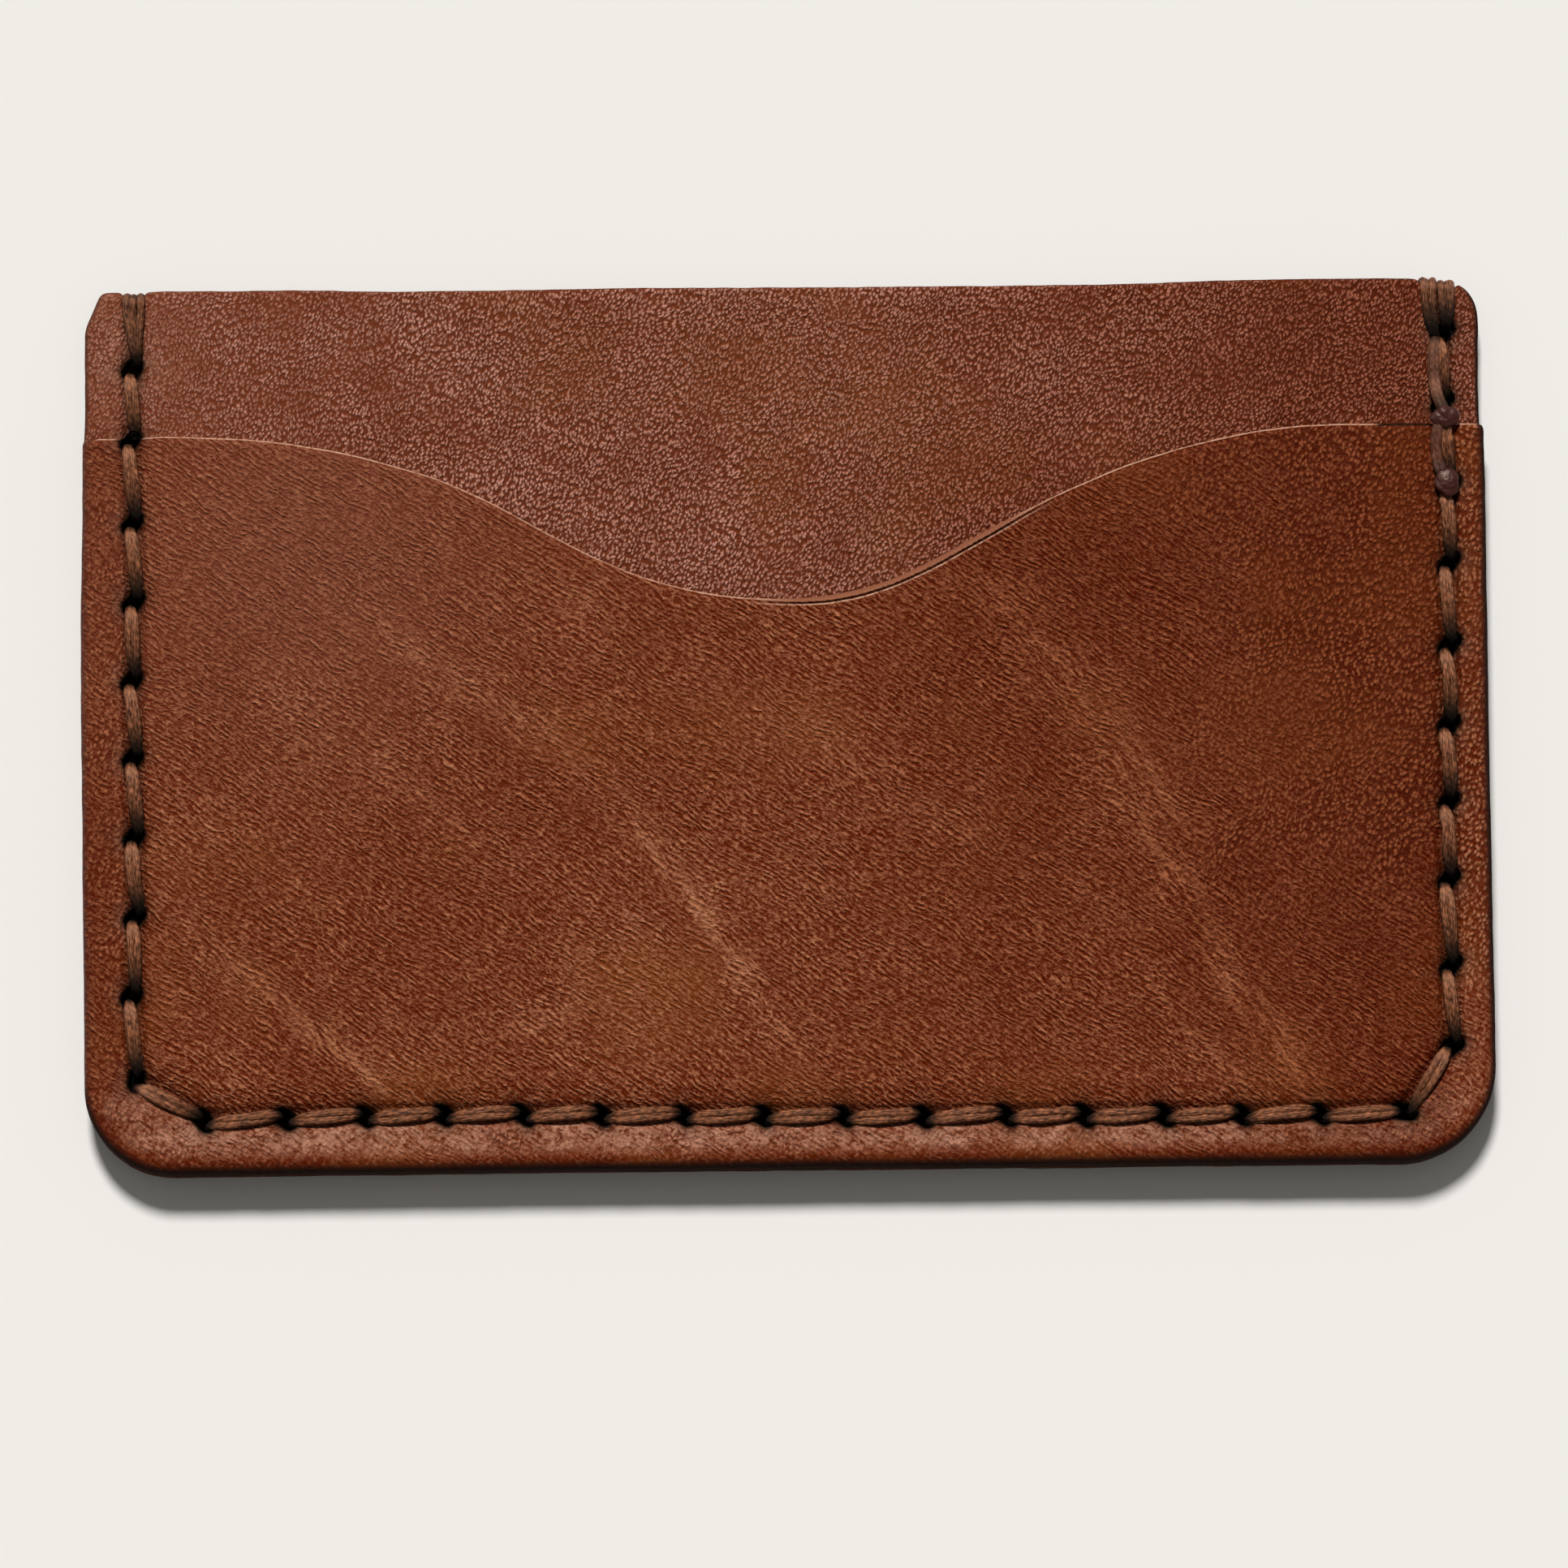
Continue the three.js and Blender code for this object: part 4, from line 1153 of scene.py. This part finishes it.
def with_bead(bead):
    bv, bf, buv = bead

    def add(verts, faces, uv, attrs):
        f = bf[:, ::-1] if facing_in(bv - bv.mean(0), bf) else bf
        g = faces[:, ::-1] if facing_in(verts, faces) else faces
        n = len(verts)
        melt = np.concatenate([attrs["melt"] if "melt" in attrs else np.clip(1 - (np.linalg.norm((verts - bv.mean(0)) * [1, 1, 0.5], axis=1) - 0.7) / 1.4, 0, 1), np.ones(len(bv))])
        out = {k: np.concatenate([a, np.full(len(bv), 0.5 if k == "lit" else 0.0)]) for k, a in attrs.items() if k != "melt"}
        out["melt"] = melt
        return np.vstack([verts, bv]), np.vstack([g, f + n]), np.vstack([uv, buv]), out

    return add


def arcs(x, y, z):
    """Ribs that curl round the lower left of the second blob."""
    r = math.hypot(x - 0.35, y - 0.75)
    w = 1.0 / (1.0 + math.exp(-8 * (-(y) - 0.05))) * max(z, 0) ** 0.3
    return 0.045 * math.sin(r * 17.0) * w


def wisps(x, y, z):
    return 0.035 * math.sin(9.0 * x + 4.0 * y + 1.0) * max(z, 0)


upper_path = new_path()
over_edge(upper_path, [(46.55, 28.1, 1.6), (46.48, 27.75, 2.3), (46.38, 27.3, 2.66), (46.28, 26.6, 2.90), (46.25, 25.6, 3.0), (46.30, 24.6, 3.1),
                       (46.42, 23.7, 3.45), (46.62, 22.9, 3.95), (46.85, 22.3, 4.15), (46.95, 21.9, 4.15)],
          [1.0, 0.0, 0.0], [0.32, 0.40, 0.46, 0.50, 0.50, 0.48, 0.46, 0.46, 0.5, 0.5], [0.3, 0.32, 0.34, 0.35, 0.35, 0.34, 0.33, 0.32, 0.3, 0.3],
          [1.0, 0.8, 0.35, 0.0, 0.0, 0.0, 0.15, 0.4, 0.6, 0.8])
tail_upper = rope("backstitch_tail_upper_melted", upper_path, ply_r=0.25, phase=0.3,
                  extra=with_bead(bead_mesh((46.98, 21.80, 4.28), 1.02, 0.78, 0.44, 5, wisps, 0.15)))
lower_path = new_path()
over_edge(lower_path, [(46.75, 21.6, 4.05), (46.50, 21.0, 4.22), (46.35, 20.2, 4.20), (46.35, 19.3, 4.12), (46.45, 18.5, 4.15), (46.65, 17.9, 4.25), (46.9, 17.4, 4.25)],
          [1.0, 0.0, 0.0], [0.42, 0.46, 0.46, 0.46, 0.46, 0.5, 0.5], [0.3, 0.33, 0.34, 0.34, 0.33, 0.3, 0.3], [0.5, 0.1, 0, 0, 0.1, 0.4, 0.7])
tail_lower = rope("backstitch_tail_lower_melted", lower_path, ply_r=0.25, phase=-0.3,
                  extra=with_bead(bead_mesh((47.02, 17.10, 4.26), 0.92, 1.08, 0.44, 9, arcs, 0.0)))

# ------------------------------------------------------------------ materials
class Nodes:
    def __init__(self, name):
        self.m = bpy.data.materials.new(name)
        self.m.use_nodes = True
        self.t = self.m.node_tree
        self.b = self.t.nodes["Principled BSDF"]

    def n(self, kind, **kw):
        node = self.t.nodes.new(kind)
        for k, v in kw.items():
            if k in node.inputs:
                node.inputs[k].default_value = v
            else:
                setattr(node, k, v)
        return node

    def link(self, a, b):
        self.t.links.new(a, b)

    def val(self, sock, x):
        if hasattr(x, "is_linked") or hasattr(x, "links"):
            self.link(x, sock)
        else:
            sock.default_value = x

    def math(self, op, a, b=None, c=None, clamp=False):
        node = self.t.nodes.new("ShaderNodeMath")
        node.operation = op
        node.use_clamp = clamp
        for k, x in enumerate((a, b, c)):
            if x is not None:
                self.val(node.inputs[k], x)
        return node.outputs[0]

    def mix(self, f, a, b, kind="MIX"):
        node = self.t.nodes.new("ShaderNodeMix")
        node.data_type = "RGBA"
        node.blend_type = kind
        self.val(node.inputs[0], f)
        for k, x in ((6, a), (7, b)):
            if isinstance(x, tuple):
                node.inputs[k].default_value = (*x, 1.0)
            else:
                self.link(x, node.inputs[k])
        return node.outputs[2]

    def attr(self, name):
        node = self.t.nodes.new("ShaderNodeAttribute")
        node.attribute_type = "GEOMETRY"
        node.attribute_name = name
        return node.outputs["Fac"]

    def ramp(self, x, stops):
        node = self.t.nodes.new("ShaderNodeValToRGB")
        el = node.color_ramp.elements
        while len(el) < len(stops):
            el.new(0.5)
        for e, (pos, col) in zip(el, stops):
            e.position = pos
            e.color = (*col, 1.0) if isinstance(col, tuple) else (col, col, col, 1.0)
        self.link(x, node.inputs[0])
        return node.outputs[0]

    def smooth(self, x, lo, hi, a=0.0, b=1.0):
        node = self.t.nodes.new("ShaderNodeMapRange")
        node.interpolation_type = "SMOOTHSTEP"
        self.val(node.inputs[0], x)
        node.inputs[1].default_value = lo
        node.inputs[2].default_value = hi
        node.inputs[3].default_value = a
        node.inputs[4].default_value = b
        return node.outputs[0]

    def map(self, vec, scale=(1, 1, 1), rot=(0, 0, 0), loc=(0, 0, 0)):
        node = self.t.nodes.new("ShaderNodeMapping")
        self.link(vec, node.inputs[0])
        node.inputs["Scale"].default_value = scale
        node.inputs["Rotation"].default_value = rot
        node.inputs["Location"].default_value = loc
        return node.outputs[0]

    def vec_add(self, a, b):
        node = self.t.nodes.new("ShaderNodeVectorMath")
        node.operation = "ADD"
        self.link(a, node.inputs[0])
        self.link(b, node.inputs[1])
        return node.outputs[0]

    def noise(self, vec, scale, detail=2.0, rough=0.5, distort=0.0, out="Fac"):
        node = self.n("ShaderNodeTexNoise")
        self.link(vec, node.inputs["Vector"])
        node.inputs["Scale"].default_value = scale
        node.inputs["Detail"].default_value = detail
        node.inputs["Roughness"].default_value = rough
        node.inputs["Distortion"].default_value = distort
        return node.outputs[out]

    def voronoi(self, vec, scale, feature="F1", out="Distance", rnd=1.0):
        node = self.n("ShaderNodeTexVoronoi")
        node.feature = feature
        node.voronoi_dimensions = "2D"
        self.link(vec, node.inputs["Vector"])
        node.inputs["Scale"].default_value = scale
        node.inputs["Randomness"].default_value = rnd
        return node.outputs[out]

    def wobble(self, vec, scale, amount):
        """The same coordinates, gently pushed about."""
        c = self.noise(vec, scale, 2.0, 0.5, 0.0, "Color")
        node = self.t.nodes.new("ShaderNodeVectorMath")
        node.operation = "MULTIPLY_ADD"
        self.link(c, node.inputs[0])
        node.inputs[1].default_value = (amount,) * 3
        node.inputs[2].default_value = (-amount / 2,) * 3
        return self.vec_add(vec, node.outputs[0])

    def bump(self, height, strength, distance, normal=None):
        node = self.t.nodes.new("ShaderNodeBump")
        self.val(node.inputs["Strength"], strength)
        node.inputs["Distance"].default_value = distance
        self.link(height, node.inputs["Height"])
        if normal is not None:
            self.link(normal, node.inputs["Normal"])
        return node.outputs[0]


def leather(name, light, deep, bump_mm=0.11, pebble=2.7, spec=0.11, gamma=1.3, long=0.72, dome=(0.03, 0.62, 0.78, 0.08), highlight_colour=(0.465, 0.212, 0.132)):
    """Drum-dyed, pull-up leather. Where the hide was stretched its grain runs slantwise; elsewhere it is pebbled."""
    k = Nodes(name)
    obj = k.n("ShaderNodeTexCoord").outputs["Object"]
    mm = k.map(obj, (1000, 1000, 1000))
    mm = k.wobble(mm, 0.16, 1.3)
    mm = k.wobble(mm, 1.1, 0.20)
    iso, border = k.attr("iso"), k.attr("border")
    # pebbled grain: small domes, each with a rubbed crown
    leant = k.map(k.map(mm, (1, 1, 1), (0, 0, math.radians(-68))), (long, 1.0, 0.9))
    d1 = k.voronoi(leant, pebble, "F1")
    n1 = k.noise(leant, pebble * 1.9, 2.0, 0.6)
    big = k.noise(mm, 1.3, 2.0, 0.6)
    peb = k.math("MULTIPLY", k.smooth(d1, *dome), k.smooth(big, 0.25, 0.75, 0.72, 1.20))
    peb = k.math("ADD", peb, k.math("MULTIPLY", k.math("SUBTRACT", n1, 0.5), 1.9))
    # slanted, drawn-out grain
    turned = k.map(mm, (1, 1, 1), (0, 0, math.radians(33)))
    d3 = k.voronoi(k.map(turned, (0.50, 1.0, 0.8)), 2.9, "F1")
    n2 = k.noise(k.map(turned, (0.58, 1.0, 0.8)), 6.6, 1.0, 0.5)
    sep = k.t.nodes.new("ShaderNodeSeparateXYZ")
    k.link(turned, sep.inputs[0])
    drift = k.noise(k.map(turned, (0.40, 0.80, 0.8)), 1.25, 2.0, 0.55)
    phase = k.math("ADD", k.math("MULTIPLY", sep.outputs[1], 2 * math.pi / 0.37), k.math("MULTIPLY", drift, 13.0))
    ridge = k.math("SINE", phase)
    fade = k.smooth(k.noise(k.map(turned, (0.6, 1.0, 0.8)), 1.6, 1.0), 0.30, 0.66, 0.05, 0.36)
    lon = k.math("ADD", k.smooth(d3, 0.04, 0.66, 0.34, 0.0), k.math("MULTIPLY", k.math("SUBTRACT", n2, 0.5), 1.75))
    lon = k.math("ADD", k.math("ADD", lon, 0.15), k.math("MULTIPLY", ridge, fade))
    lon = k.math("MULTIPLY", lon, k.smooth(big, 0.25, 0.75, 0.82, 1.15))
    side = k.math("ADD", iso, k.math("MULTIPLY", border, 0.45), None, True)
    edgy = k.noise(mm, 0.35, 2.0)
    side = k.smooth(k.math("ADD", side, k.math("MULTIPLY", k.math("SUBTRACT", edgy, 0.5), 0.9)), 0.15, 0.85)
    grain = k.math("ADD", k.math("MULTIPLY", peb, side), k.math("MULTIPLY", lon, k.math("SUBTRACT", 1.0, side)))
    micro = k.noise(mm, 13.0, 2.0, 0.65)
    edge, hole, stain = k.attr("edge"), k.attr("hole"), k.attr("stain")
    lip, rim, flat = k.attr("lip"), k.attr("rim"), k.attr("flat")
    band = k.smooth(rim, -0.05, 0.02, 1.0, 0.0)
    calm = k.math("MULTIPLY", k.math("SUBTRACT", 1.0, k.math("MULTIPLY", edge, 0.9)), k.math("SUBTRACT", 1.0, k.math("MULTIPLY", band, 0.85)))
    calm = k.math("MULTIPLY", calm, k.math("SUBTRACT", 1.0, k.math("MULTIPLY", flat, 0.36)))
    soft = k.noise(mm, 0.22, 3.0, 0.55)
    calm = k.math("MULTIPLY", calm, k.smooth(soft, 0.25, 0.75, 0.75, 1.15))
    # puckers round the stitches
    puck = k.noise(k.map(k.map(mm, (1, 1, 1), (0, 0, math.radians(48))), (0.55, 2.2, 1.0)), 1.2, 2.0, 0.5)
    height = k.math("ADD", k.math("MULTIPLY", grain, calm), k.math("MULTIPLY", k.math("MULTIPLY", puck, border), 1.3))
    height = k.math("ADD", height, k.math("MULTIPLY", micro, 0.14))
    norm = k.bump(height, 1.0, bump_mm * MM)
    # colour: dye lies dark in the valleys; the light crown colour is partly the grain's own colour and partly painted
    # glints where the crowns catch the key light
    tone, warm = k.attr("tone"), k.attr("warm")
    lines = k.noise(k.map(k.map(mm, (1, 1, 1), (0, 0, math.radians(56))), (0.07, 1.0, 0.8)), 3.1, 2.0, 0.6)
    streak = k.math("MULTIPLY", k.attr("streak"), k.smooth(lines, 0.42, 0.60, 0.02, 1.45))
    crown = k.math("MULTIPLY", k.math("ADD", grain, k.math("MULTIPLY", streak, 0.42)), calm, None, False)
    crown = k.math("POWER", k.math("MINIMUM", k.math("MAXIMUM", crown, 0.0), 1.15), gamma)
    col = k.mix(crown, deep, light)
    col = k.mix(k.smooth(warm, -0.1, 1.0, 0.0, 0.45), col, k.mix(0.55, col, (0.230, 0.062, 0.012)))
    col = k.mix(k.math("MULTIPLY", streak, 0.15), col, (0.45, 0.190, 0.085))
    # multiplies in the painted light falloff together with the random tone
    comb = k.t.nodes.new("ShaderNodeCombineColor")
    k.link(tone, comb.inputs[0])
    k.link(k.math("POWER", tone, 1.75), comb.inputs[1])
    k.link(k.math("POWER", tone, 2.3), comb.inputs[2])
    col = k.mix(1.0, col, comb.outputs[0], "MULTIPLY")
    # painted sheen: a paler, greyer colour on the pocket's upper left stands in for the softbox's reflection there
    col = k.mix(k.attr("veil"), col, (0.215, 0.070, 0.040))
    # painted highlight, broken into specks: the border below the stitches, the leather round the holes and round the
    # top-left wrap are lightened where their slopes would catch the key light
    speck = k.noise(mm, 1.7, 4.0, 0.7)
    patch = k.noise(mm, 0.42, 3.0, 0.6)
    highlight_specks = k.math("ADD", k.smooth(speck, 0.40, 0.60, 0.02, 0.62), k.math("MULTIPLY", crown, 0.55))
    highlight_specks = k.math("MULTIPLY", k.math("MULTIPLY", k.attr("glow"), highlight_specks), k.smooth(patch, 0.32, 0.62, 0.45, 1.25), None, True)
    col = k.mix(highlight_specks, col, highlight_colour)
    # the pocket mouth: a bevel strip, lighter as a cut edge and partly as a painted highlight where the rounded lip
    # catches the key light; painted shade along the crease and in the gap under the lip on the right; a dashed painted
    # highlight on the crease's lower lip
    dash = k.noise(mm, 2.6, 2.0, 0.6)
    thin = k.mix(k.smooth(dash, 0.30, 0.62), (0.330, 0.130, 0.068), (0.560, 0.320, 0.215))
    col = k.mix(band, col, k.mix(k.math("MAXIMUM", lip, 0.0), thin, (0.250, 0.088, 0.046)))
    # painted shadow line in the gap under the lip on the right
    col = k.mix(k.math("MULTIPLY", k.smooth(k.math("MULTIPLY", lip, -1.0), 0.1, 0.9), k.smooth(rim, 0.0, 0.13, 1.0, 0.0)), col, (0.016, 0.0050, 0.0025))
    # painted shade along the creased line
    crease_shade = k.math("ABSOLUTE", k.math("SUBTRACT", rim, 0.095))
    col = k.mix(k.math("MULTIPLY", k.math("MULTIPLY", k.smooth(crease_shade, 0.03, 0.095, 1.0, 0.0), k.math("MAXIMUM", lip, 0.0)), 0.92), col, (0.016, 0.0050, 0.0025))
    # painted highlight on the crease's lower lip, broken into dashes
    crease_highlight = k.math("ABSOLUTE", k.math("SUBTRACT", rim, 0.235))
    crease_highlight = k.math("MULTIPLY", k.smooth(crease_highlight, 0.02, 0.075, 1.0, 0.0), k.smooth(dash, 0.38, 0.56, 0.25, 1.0))
    col = k.mix(k.math("MULTIPLY", crease_highlight, k.math("MAXIMUM", lip, 0.0)), col, (0.560, 0.320, 0.215))
    # painted shade in the stitch groove, round the holes and under the pocket's lip
    col = k.mix(stain, col, k.mix(0.75, col, (0.014, 0.005, 0.0025)))
    col = k.mix(edge, col, (0.0085, 0.0024, 0.0014))
    # painted shade: the awl holes and their walls are coloured near-black
    col = k.mix(hole, col, (0.0014, 0.0010, 0.0009))
    k.link(col, k.b.inputs["Base Color"])
    rough = k.math("ADD", 0.31, k.math("MULTIPLY", k.math("SUBTRACT", speck, 0.5), 0.25))
    rough = k.math("ADD", rough, k.math("MULTIPLY", k.math("MAXIMUM", hole, edge), 0.6), None, True)
    k.link(rough, k.b.inputs["Roughness"])
    k.link(norm, k.b.inputs["Normal"])
    k.b.inputs["Specular IOR Level"].default_value = spec
    k.b.inputs["Specular Tint"].default_value = (1.0, 0.64, 0.36, 1.0)
    return k.m


def thread_material(name, base, light, melted=False):
    """Waxed thread: fibres laid along each ply, lighter on the crowns, with painted highlights where it faces the key
    light and painted shade between the yarns, at the stitch ends and in the holes.
    """
    k = Nodes(name)
    uv = k.n("ShaderNodeTexCoord").outputs["UV"]
    obj = k.map(k.n("ShaderNodeTexCoord").outputs["Object"], (1000, 1000, 1000))
    # yarns wind round the ply: lines across u + v
    skew = k.map(uv, (1.0, 1.0, 1.0))
    sep = k.n("ShaderNodeSeparateXYZ")
    k.link(skew, sep.inputs[0])
    turn = k.math("MULTIPLY", k.math("ADD", k.math("MULTIPLY", sep.outputs[0], 0.87), sep.outputs[1]), 2 * math.pi * 2)
    wave = k.math("SINE", turn)
    fib = k.noise(k.map(uv, (0.55, 9.0, 1.0)), 2.4, 3.0, 0.6)
    spot = k.noise(obj, 2.2, 3.0, 0.6)
    hole = k.attr("hole")
    melt = k.attr("melt")
    height = k.math("ADD", k.math("MULTIPLY", wave, 0.14), k.math("MULTIPLY", fib, 1.5))
    height = k.math("MULTIPLY", height, k.math("SUBTRACT", 1.0, k.math("MULTIPLY", melt, 0.9)))
    height = k.math("ADD", height, k.math("MULTIPLY", k.noise(obj, 5.0, 2.0), k.math("ADD", 0.15, k.math("MULTIPLY", melt, 0.25))))
    norm = k.bump(height, 1.0, 0.06 * MM)
    col = k.mix(k.smooth(fib, 0.42, 0.62), base, light)
    col = k.mix(k.smooth(spot, 0.45, 0.75, 0.0, 0.5), col, light)
    lit = k.attr("lit")
    # painted highlight on the side of the thread that faces the key light, and painted shade on the side turned away
    col = k.mix(k.smooth(lit, 0.55, 1.0, 0.0, 0.50), col, (0.47, 0.208, 0.112))
    col = k.mix(k.smooth(lit, 0.0, 0.5, 0.72, 0.0), col, (0.022, 0.0070, 0.0032))
    # painted shade in the grooves between the yarns
    col = k.mix(k.smooth(wave, -1.0, 0.2, 0.28, 0.0), col, (0.022, 0.0075, 0.0032))
    col = k.mix(melt, col, (0.050, 0.0135, 0.0110))
    # painted shade: thread near and inside the awl holes is coloured near-black
    col = k.mix(hole, col, (0.0022, 0.0013, 0.0010))
    k.link(col, k.b.inputs["Base Color"])
    rough = k.math("SUBTRACT", k.smooth(spot, 0.3, 0.7, 0.40, 0.55), k.math("MULTIPLY", melt, 0.14))
    rough = k.math("ADD", rough, k.math("MULTIPLY", hole, 0.35), None, True)
    k.link(rough, k.b.inputs["Roughness"])
    k.link(norm, k.b.inputs["Normal"])
    k.b.inputs["Specular IOR Level"].default_value = 0.28
    k.b.inputs["Specular Tint"].default_value = (1.0, 0.78, 0.62, 1.0)
    return k.m


mat_pocket = leather("pocket_leather_finish", (0.430, 0.154, 0.072), (0.104, 0.0100, 0.0008), pebble=2.9, dome=(0.03, 0.60, 1.02, 0.0))
mat_middle = leather("middle_leather_finish", (0.585, 0.252, 0.171), (0.142, 0.0262, 0.0086), bump_mm=0.12, pebble=4.4, gamma=1.90, long=0.62, dome=(0.0, 0.74, 1.14, -0.02))
mat_back = leather("back_leather_finish", (0.430, 0.158, 0.080), (0.108, 0.0110, 0.0010), pebble=2.4)
mat_thread = thread_material("waxed_thread_finish", (0.052, 0.0130, 0.0042), (0.400, 0.142, 0.062))
mat_melt = thread_material("melted_thread_finish", (0.062, 0.0180, 0.0088), (0.200, 0.068, 0.037), True)

for o, m in ((pocket_piece, mat_pocket), (middle_piece, mat_middle), (back_piece, mat_back), (thread_a, mat_thread),
             (thread_b, mat_thread), (tail_upper, mat_melt), (tail_lower, mat_melt)):
    o.data.materials.append(m)

# ------------------------------------------------------------------ what stands for what
for o, node, slot in ((back_piece, "back_panel", "back_leather"), (middle_piece, "middle_panel", "middle_leather"),
                      (pocket_piece, "front_pocket", "pocket_leather"), (thread_a, "saddle_thread_needle_a", "waxed_thread"),
                      (thread_b, "saddle_thread_needle_b", "waxed_thread"), (tail_upper, "backstitch_tail_upper", "melted_thread"),
                      (tail_lower, "backstitch_tail_lower", "melted_thread")):
    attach(o, "root")
    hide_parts(node)

# ------------------------------------------------------------------ floor, light, camera
bpy.ops.mesh.primitive_plane_add(size=12.0, location=(0, 0, -0.00005))
floor = bpy.context.object
floor.name = "floor"
fm = Nodes("floor_paper")
fm.b.inputs["Base Color"].default_value = (0.871, 0.847, 0.807, 1.0)
fm.b.inputs["Roughness"].default_value = 0.95
fm.b.inputs["Specular IOR Level"].default_value = 0.0
geo = fm.n("ShaderNodeNewGeometry")
clear = fm.n("ShaderNodeBsdfTransparent")
pick = fm.n("ShaderNodeMixShader")
fm.link(geo.outputs["Backfacing"], pick.inputs[0])
fm.link(fm.b.outputs[0], pick.inputs[1])
fm.link(clear.outputs[0], pick.inputs[2])
fm.link(pick.outputs[0], fm.t.nodes["Material Output"].inputs[0])
floor.data.materials.append(fm.m)

sun = bpy.data.objects.new("key_light", bpy.data.lights.new("key_light", "SUN"))
sun.data.energy = 3.37
sun.data.angle = math.radians(11)
sun.data.color = (1.0, 0.998, 1.0)
bpy.context.scene.collection.objects.link(sun)
key_dir = Vector((-0.07, math.cos(math.radians(51.5)), math.sin(math.radians(51.5)))).normalized()
sun.rotation_mode = "QUATERNION"
sun.rotation_quaternion = key_dir.to_track_quat("Z", "Y")

box = bpy.data.objects.new("sheen_softbox", bpy.data.lights.new("sheen_softbox", "AREA"))
box.data.shape = "RECTANGLE"
box.data.size, box.data.size_y = 0.12, 0.12
box.data.energy = 0.16
box.visible_diffuse = False
box.location = (-0.17, 0.11, 0.24)
box.rotation_mode = "QUATERNION"
box.rotation_quaternion = Vector(box.location).normalized().to_track_quat("Z", "Y")
bpy.context.scene.collection.objects.link(box)

world = bpy.data.worlds.new("studio")
bpy.context.scene.world = world
world.use_nodes = True
wt = world.node_tree
bg = wt.nodes["Background"]
bg.inputs[0].default_value = (1.0, 0.985, 0.96, 1.0)
bg.inputs[1].default_value = 0.168
pale = wt.nodes.new("ShaderNodeBackground")
pale.inputs[0].default_value = (0.871, 0.847, 0.807, 1.0)
pale.inputs[1].default_value = 1.0
lp = wt.nodes.new("ShaderNodeLightPath")
mixw = wt.nodes.new("ShaderNodeMixShader")
wt.links.new(lp.outputs["Is Camera Ray"], mixw.inputs[0])
wt.links.new(bg.outputs[0], mixw.inputs[1])
wt.links.new(pale.outputs[0], mixw.inputs[2])
wt.links.new(mixw.outputs[0], wt.nodes["World Output"].inputs[0])

cam = bpy.data.objects.new("camera", bpy.data.cameras.new("camera"))
bpy.context.scene.collection.objects.link(cam)
cam.data.sensor_width = 36.0
cam.data.lens = 259.08
pitch, roll = math.radians(8.0), math.radians(0.62)
centre = (np.array([-0.33094, -115.2951, 795.5584]) + OFF) * MM
rgt = np.array([1.0, 0, 0])
upv = np.array([0, math.cos(pitch), math.sin(pitch)])
bck = np.array([0, -math.sin(pitch), math.cos(pitch)])
r2 = math.cos(roll) * rgt - math.sin(roll) * upv
u2 = math.cos(roll) * upv + math.sin(roll) * rgt
from mathutils import Matrix
cam.matrix_world = Matrix(((r2[0], u2[0], bck[0], centre[0]), (r2[1], u2[1], bck[1], centre[1]), (r2[2], u2[2], bck[2], centre[2]), (0, 0, 0, 1)))
cam.data.clip_start, cam.data.clip_end = 0.01, 50.0
bpy.context.scene.camera = cam
bpy.context.scene.view_settings.view_transform = "Standard"
